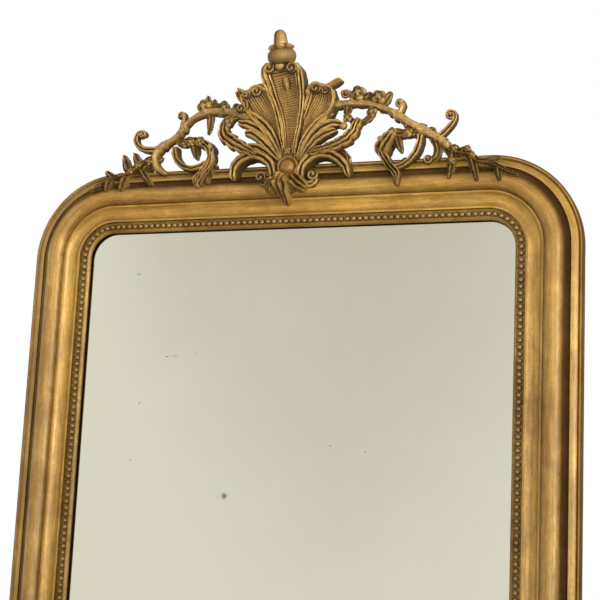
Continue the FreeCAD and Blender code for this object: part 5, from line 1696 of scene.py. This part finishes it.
@dataclass
class RailOrnaments(CrestPart):
    """Volutes and leafy sprays that lie on the top rail."""

    LEFT_VOLUTE = ((-.580, .205, .85), (-.505, .218, 1.15), (-.450, .203, 1.40), (-.410, .148, 1.30),
                   (-.402, .078, 1.15), (-.418, .005, 1.15), (-.436, -.060, 1.20), (-.446, -.125, 1.0),
                   (-.432, -.190, .55))
    LEFT_RING = ((-.584, .190, .72), (-.575, .095, .76), (-.545, .030, .76), (-.502, .000, .76), (-.455, .008, .76),
                 (-.415, .048, .72))
    LEFT_TAIL = ((-.386, .040, .75), (-.404, -.040, .90), (-.420, -.105, .80), (-.428, -.165, .40))
    LEFT_SPRAY = ((-.655, .112, 1.0), (-.725, .078, 1.30), (-.790, .010, 1.40), (-.850, -.036, 1.0),
                  (-.905, -.060, .75), (-.950, -.125, .60), (-.988, -.165, .35))
    RIGHT_VOLUTE = ((.590, .188, .95), (.510, .190, 1.10), (.452, .188, 1.30), (.408, .140, 1.50), (.402, .055, 1.35),
                    (.428, -.030, 1.20), (.462, -.100, 1.25), (.488, -.170, 1.0), (.486, -.240, .50))
    RIGHT_BARB = ((.456, .196, .90), (.428, .140, 1.60), (.402, .076, 2.10), (.388, .026, 2.20))
    RIGHT_RING = ((.574, .182, .80), (.566, .090, .80), (.542, .005, .80), (.500, -.056, .80), (.450, -.080, .76))
    RIGHT_TAIL = ((.428, -.015, .75), (.454, -.085, .85), (.474, -.150, .75), (.480, -.225, .35))
    RIGHT_SPRAY = ((.660, .125, 1.35), (.715, .030, 1.50), (.780, .005, 1.45), (.825, -.060, 1.25),
                   (.885, -.085, 1.05), (.940, -.145, .85), (1.005, -.190, .40))
    LEFT_LEAVES = (((-.820, .000), (-.850, .152)), ((-.765, .035), (-.796, .162)), ((-.830, -.030), (-.826, -.184)),
                   ((-.760, .020), (-.686, -.126)), ((-.890, -.050), (-.938, .022)), ((-.905, -.060), (-.898, -.180)),
                   ((-.730, .060), (-.700, .010)), ((-.925, -.105), (-.968, -.150)))
    RIGHT_LEAVES = (((.710, .050), (.714, -.205)), ((.790, .000), (.835, -.230)), ((.745, .010), (.782, .078)),
                    ((.850, -.075), (.924, -.034)), ((.915, -.110), (.930, -.232)), ((.700, .070), (.742, .052)),
                    ((.835, -.062), (.916, -.080)))
    LEFT_FLOWERS = ((-.760, .048), (-.800, .000), (-.702, .070))
    RIGHT_FLOWERS = ((.780, .040), (.724, .036), (.718, -.060), (.800, -.010))
    NARROW = (1.15, 0.95, 0.36)

    def left_volute(self) -> list[Grid]:
        """Grids of the heart-shaped left volute with its barb and tail leaf.

        Returns:
            The closed surfaces.
        """
        carver, seat = self.carver, self.carver.shape.rail_seat
        return [carver.rail(self.LEFT_VOLUTE, Carving.FLUTE, 5),
                carver.rail(self.LEFT_RING, Carving.ROLL, climbs=False),
                carver.rail(self.LEFT_TAIL, Carving.LEAF, 3),
                carver.rail(carver.leaf_rows((-.496, .205), (-.482, .080)), Carving.LEAF, climbs=False),
                carver.flower((-.535, .196), seat, 17.0, 5.4, 4), carver.flower((-.500, .206), seat, 18.0, 6.0, 5),
                carver.flower((-.452, .212), seat, 18.0, 6.4, 5, 1.0), carver.bud((-.404, .160), seat, 18.0, 4.6)]

    def right_volute(self) -> list[Grid]:
        """Grids of the right volute with its fish-tail leaf, tongue and tail leaf.

        Returns:
            The closed surfaces.
        """
        carver, seat = self.carver, self.carver.shape.rail_seat
        return [carver.rail(self.RIGHT_VOLUTE, Carving.FLUTE, 5),
                carver.rail(self.RIGHT_RING, Carving.ROLL, climbs=False),
                Limb(self.RIGHT_BARB, carver.girth, 27.0, Carving.FLUTE).grid(carver.shape, seat),
                carver.rail(self.RIGHT_TAIL, Carving.LEAF, 3),
                carver.rail(carver.leaf_rows((.452, .190), (.482, .050)), Carving.LEAF, climbs=False),
                carver.rail(carver.leaf_rows((.492, -.070), (.506, .010)), Carving.LEAF, climbs=False),
                carver.flower((.520, .186), seat, 17.0, 6.0, 4), carver.flower((.448, .196), seat, 18.0, 6.6, 5),
                carver.bud((.398, .142), seat, 19.0, 5.0)]

    def spray(self, rows: Stations, leaves: Sequence[tuple[Share, Share]], tips: Sequence[Share]) -> list[Grid]:
        """Grids of a spray: toothed stem, pointed leaves and small flowers.

        Args:
            rows: Stations of the stem.
            leaves: Base and tip of each leaf.
            tips: Places of the flowers.

        Returns:
            The closed surfaces.
        """
        carver, seat = self.carver, self.carver.shape.rail_seat
        grids = [carver.rail(rows, Carving.LEAF, 4, knots=8)]
        grids += [carver.rail(carver.leaf_rows(base, tip, self.NARROW), Carving.LEAF) for base, tip in leaves]
        return grids + [carver.flower(place, seat, 17.0, 4.8, 4, 0.2 + 5 * place[0]) for place in tips]

    def pieces(self) -> Carved:
        """Grids of the volutes and of the sprays.

        Returns:
            The closed surfaces by the piece's name.
        """
        return {"volute_left": self.left_volute(), "volute_right": self.right_volute(),
                "spray_left": self.spray(self.LEFT_SPRAY, self.LEFT_LEAVES, self.LEFT_FLOWERS),
                "spray_right": self.spray(self.RIGHT_SPRAY, self.RIGHT_LEAVES, self.RIGHT_FLOWERS)}


@dataclass
class CentreOrnaments(CrestPart):
    """Palmette and finial on the middle line of the crest."""

    palmette_girth: float = 26.0
    palmette_depth: float = 50.0
    finial_share: Share = (-0.036, 0.712)
    finial_forward: float = 12.6
    finial_lean_deg: float = 4.5

    LEAVES = (((-.034, -.105, .60), (-.058, -.162, .72), (-.082, -.210, .78), (-.106, -.246, .62)),
              ((.006, -.105, .62), (.034, -.158, .80), (.060, -.200, .86), (.086, -.230, .68)),
              ((-.024, -.100, .60), (-.050, -.180, .80), (-.068, -.250, .72)),
              ((-.006, -.100, .60), (.012, -.180, .80), (.024, -.248, .72)),
              ((-.014, -.095, .60), (-.018, -.180, 1.0), (-.023, -.256, .86), (-.030, -.330, .30)))
    CUP = TurnedPiece(((0.0, 0.0), (13.0, 0.5), (18.0, 5.0), (20.2, 12.0), (19.0, 18.0), (14.0, 21.6), (0.0, 22.6)),
                      tone=-0.30)
    COLLAR = TurnedPiece(((0.0, 20.0), (13.6, 20.6), (17.4, 22.8), (18.8, 25.6), (17.0, 27.4), (10.0, 28.6),
                          (0.0, 29.0)), lobes=7, lobe_depth=0.10, tone=-0.1)
    BUD = TurnedPiece(((0.0, 27.0), (9.2, 28.0), (10.2, 32.5), (9.6, 37.0), (9.0, 42.0), (7.4, 46.2), (4.4, 49.0),
                       (0.0, 50.2)), lobes=3, lobe_depth=0.05, tone=0.1)

    def palmette(self) -> list[Grid]:
        """Grids of the drooping leaves under the boss.

        Returns:
            The closed surfaces.
        """
        shape = self.carver.shape
        return [Limb(rows, self.palmette_girth, self.palmette_depth, Carving.FLUTE, scallops=2.5, notch=0.18,
                     tip_depth=0.05, tone=0.14).grid(shape, shape.palmette_seat) for rows in self.LEAVES]

    def finial(self) -> list[Grid]:
        """Turned cup with a flared collar and a tall bud, leaning with the shell.

        Returns:
            The closed surfaces.
        """
        shape = self.carver.shape
        x, z = self.finial_share[0] * shape.half_span, self.finial_share[1] * shape.rise
        height = float(shape.shell_seat(np.array(x), np.array(z))) + self.finial_forward
        centre = shape.place(np.array(x), np.array(height), np.array(z))
        tilt = (Matrix.Rotation(-math.radians(self.finial_lean_deg), 4, "Y")
                @ Matrix.Rotation(math.atan(shape.lean), 4, "X"))
        return [piece.grid(centre, tilt) for piece in (self.CUP, self.COLLAR, self.BUD)]

    def pieces(self) -> Carved:
        """Grids of the palmette and of the finial."""
        return {"palmette": self.palmette(), "finial": self.finial()}


@dataclass
class Boss(CrestPart):
    """Turned boss in the middle of the shell: a hollow ring round a domed button."""

    share: Share = (-0.007, -0.058)

    RIM = TurnedPiece(((0.0, 14.0), (15.0, 14.2), (15.6, 36.0), (15.5, 42.0), (14.3, 44.6), (12.6, 44.4),
                       (11.4, 42.8), (10.6, 42.0), (0.0, 42.0)), tone=0.12)
    BUTTON = TurnedPiece(((0.0, 40.0), (10.2, 40.8), (10.1, 43.8), (7.9, 47.6), (4.3, 49.4), (0.0, 49.9)),
                         tone=0.45)

    def pieces(self) -> Carved:
        """Grids of the boss, turned about an axis towards the front.

        Returns:
            The closed surfaces by the piece's name.
        """
        shape = self.carver.shape
        centre = shape.place(np.array(self.share[0] * shape.half_span), np.array(0.0),
                             np.array(self.share[1] * shape.rise))
        tilt = Matrix.Rotation(math.pi / 2, 4, "X")
        return {"boss": [piece.grid(centre, tilt) for piece in (self.RIM, self.BUTTON)]}


@dataclass
class Carcass:
    """CAD nodes that keep their own shape and get a finish: timber and ironwork."""

    nodes: dict[str, Piece]

    def dress(self, finish: Material, *prefixes: str) -> None:
        """Give a finish to every node whose name starts with one of the prefixes.

        Args:
            finish: The material.
            prefixes: How the nodes' names start.
        """
        for name, node in self.nodes.items():
            if name.startswith(prefixes):
                node.data.materials.clear()
                node.data.materials.append(finish)
                log.info("%s: %s", name, finish.name)


@dataclass(frozen=True)
class Lamp:
    """Square soft light that faces a point and leaves the plate out, which would show it as a glare."""

    name: str
    place: Triple
    aim: Triple
    size: float
    watts: float
    spread_deg: float = 180.0

    def build(self) -> None:
        """Add the light to the scene, turned from its place to its aim."""
        lamp = bpy.data.lights.new(self.name, "AREA")
        lamp.shape = "SQUARE"
        lamp.size = self.size
        lamp.energy = self.watts
        lamp.spread = math.radians(self.spread_deg)
        holder = bpy.data.objects.new(self.name, lamp)
        left_out = bpy.data.collections.new(self.name + "_leaves_out")
        left_out.objects.link(bpy.data.objects["silvered_plate"])
        left_out.collection_objects[0].light_linking.link_state = "EXCLUDE"
        holder.light_linking.receiver_collection = left_out
        holder.location = self.place
        holder.rotation_euler = (Vector(self.aim) - Vector(self.place)).to_track_quat("-Z", "Y").to_euler()
        bpy.context.scene.collection.objects.link(holder)


@dataclass
class Studio:
    """Floor, soft lights, white background and camera."""

    floor_level: float = -0.650
    floor_radius: float = 2.4
    floor_fade: float = 1.0
    lens_mm: float = 85.308
    sensor_mm: float = 36.0
    camera_place: Triple = (0.65668, -1.85434, 0.10386)
    camera_turn_deg: Triple = (100.4544, -2.6140, 19.0744)
    fill: float = 0.235

    LAMPS = (Lamp("key_light", (2.55, -1.35, 1.00), (0.1, 0, 1.15), 1.9, 11.0, 46.0),
             Lamp("low_front_light", (0.95, -2.7, 0.20), (0, 0, 0.85), 1.2, 3.8, 55.0),
             Lamp("side_fill", (-2.6, -1.6, 1.4), (0, 0, 0.2), 1.8, 7.0),
             Lamp("back_fill", (-1.4, 2.8, 1.2), (0, 0, 0.1), 2.2, 45.0))

    def build_floor(self) -> None:
        """Round pale floor that fades to white at its rim: a grid of rings and spokes."""
        ring = np.linspace(0, 1, 24)[:, None]
        turn = np.linspace(0, math.tau, 97)[None, :]
        reach = self.floor_radius * ring
        points = stacked(reach * np.cos(turn), reach * np.sin(turn), self.floor_level)
        floor = piece_from_grids("studio_floor", [Grid(points, np.zeros(points.shape[:2]), points[..., :2])])
        floor.data.polygons.foreach_set("use_smooth", np.zeros(len(floor.data.polygons), dtype=bool))
        finish, tree, shader = new_finish("pale_floor")
        tree.fill(shader, {"Base Color": (0.86, 0.86, 0.85), "Roughness": 0.9})
        far = tree.add("ShaderNodeVectorMath", operation="LENGTH")
        tree.feed(far.inputs[0], tree.add("ShaderNodeTexCoord").outputs["Object"])
        glow = tree.fill(tree.add("ShaderNodeEmission"), {"Strength": 1.0})
        fade = tree.times(tree.ease(far.outputs["Value"], self.floor_fade, self.floor_radius),
                          tree.add("ShaderNodeLightPath").outputs["Is Camera Ray"])
        tree.mix_shaders(fade, shader.outputs[0], glow.outputs[0], finish.node_tree.nodes["Material Output"])
        floor.data.materials.append(finish)

    def build_background(self) -> None:
        """White behind the mirror and in its reflections, softer white as light."""
        world = bpy.data.worlds.new("white_studio")
        world.use_nodes = True
        bpy.context.scene.world = world
        tree = Tree(world.node_tree)
        path = tree.add("ShaderNodeLightPath")
        seen = tree.sum("MAXIMUM", path.outputs["Is Camera Ray"], path.outputs["Is Glossy Ray"])
        seen = tree.sum("MAXIMUM", seen, path.outputs["Is Transmission Ray"])
        light = tree.fill(world.node_tree.nodes["Background"], {"Color": (1.0, 0.985, 0.96), "Strength": self.fill})
        white = tree.fill(tree.add("ShaderNodeBackground"), {"Color": (1.0, 1.0, 1.0), "Strength": 1.0})
        tree.mix_shaders(seen, light.outputs[0], white.outputs[0], world.node_tree.nodes["World Output"])

    def build_camera(self) -> None:
        """Camera at the height and turn that the picture was taken from."""
        lens = bpy.data.cameras.new("picture_camera")
        lens.lens = self.lens_mm
        lens.sensor_width = self.sensor_mm
        lens.clip_start = 0.01
        lens.clip_end = 100.0
        camera = bpy.data.objects.new("picture_camera", lens)
        camera.location = self.camera_place
        camera.rotation_euler = [math.radians(turn) for turn in self.camera_turn_deg]
        bpy.context.scene.collection.objects.link(camera)
        bpy.context.scene.camera = camera

    def build(self) -> None:
        """Set up the floor, the background, the lights and the camera."""
        self.build_floor()
        self.build_background()
        for lamp in self.LAMPS:
            lamp.build()
        self.build_camera()
        bpy.context.scene.view_settings.view_transform = "Standard"


def main() -> None:
    """Dress the mirror and set up its studio."""
    logging.basicConfig(level=logging.INFO, format="%(name)s: %(message)s")
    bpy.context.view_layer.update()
    groups = EffectGroups()
    gilt = GiltFinish("toned_and_shaded_gilt", (0.58, 0.338, 0.062), (0.40, 0.210, 0.030), (0.22, 0.072, 0.026),
                      (0.085, 0.034, 0.006), 0.30, 0.80, 360.0).build(groups)
    pearl_gilt = GiltFinish("pearl_gilt", (0.40, 0.245, 0.060), (0.27, 0.150, 0.034), (0.17, 0.066, 0.022),
                            (0.065, 0.026, 0.007), 0.25, 1.0).build(groups)
    carved_gilt = GiltFinish("carved_gilt", (0.52, 0.312, 0.080), (0.32, 0.178, 0.043), (0.18, 0.066, 0.024),
                             (0.052, 0.026, 0.008), 0.30, 1.0).build(groups)
    boss_gilt = GiltFinish("boss_gilt", (0.37, 0.192, 0.024), (0.24, 0.112, 0.014), (0.18, 0.058, 0.016),
                           (0.07, 0.03, 0.01), 0.10, 0.7).build(groups)
    pine = ((0.50, 0.32, 0.17), (0.30, 0.165, 0.075), (0.16, 0.085, 0.04))
    upright_pine = PineFinish("upright_pine", *pine, Way.UPRIGHT).build(groups)
    level_pine = PineFinish("level_pine", *pine, Way.LEVEL).build(groups)
    peg_wood = PineFinish("peg_wood", (0.46, 0.30, 0.17), (0.34, 0.20, 0.10), (0.20, 0.11, 0.05),
                          Way.LEVEL).build(groups)
    steel = MetalFinish("hanger_steel", (0.36, 0.345, 0.32), (0.21, 0.195, 0.18), (0.17, 0.07, 0.03),
                        0.5).build(groups)
    iron = MetalFinish("dark_iron", (0.26, 0.24, 0.22), (0.12, 0.105, 0.095), (0.20, 0.08, 0.03), 0.8).build(groups)
    silvering = SilveredFinish("old_silvering", (0.68, 0.662, 0.53), (0.53, 0.505, 0.40), (0.12, 0.11, 0.09),
                               PLATE_MARKS).build()

    shape = FrameShape()
    GiltMouldings(shape).build(gilt)
    PearlRow(shape).build(pearl_gilt)
    MirrorPlate(shape).build(silvering)
    carver = CrestCarver()
    for sub_assembly in (ShellLobes, Plumes, Scrolls, Branches, RailOrnaments, CentreOrnaments):
        sub_assembly(carver).build(carved_gilt)
    Boss(carver).build(boss_gilt)
    carcass = Carcass(frame["nodes"])
    carcass.dress(upright_pine, "chassis_left", "chassis_right", "backboard_left", "backboard_middle",
                  "backboard_right", "crest_batten", "crest_block", "glass_blocks")
    carcass.dress(level_pine, "chassis_top", "chassis_bottom")
    carcass.dress(peg_wood, "corner_pegs")
    carcass.dress(steel, "hanger_")
    carcass.dress(iron, "backboard_nails", "wood_screws")
    Studio().build()


if __name__ == "__main__":
    main()
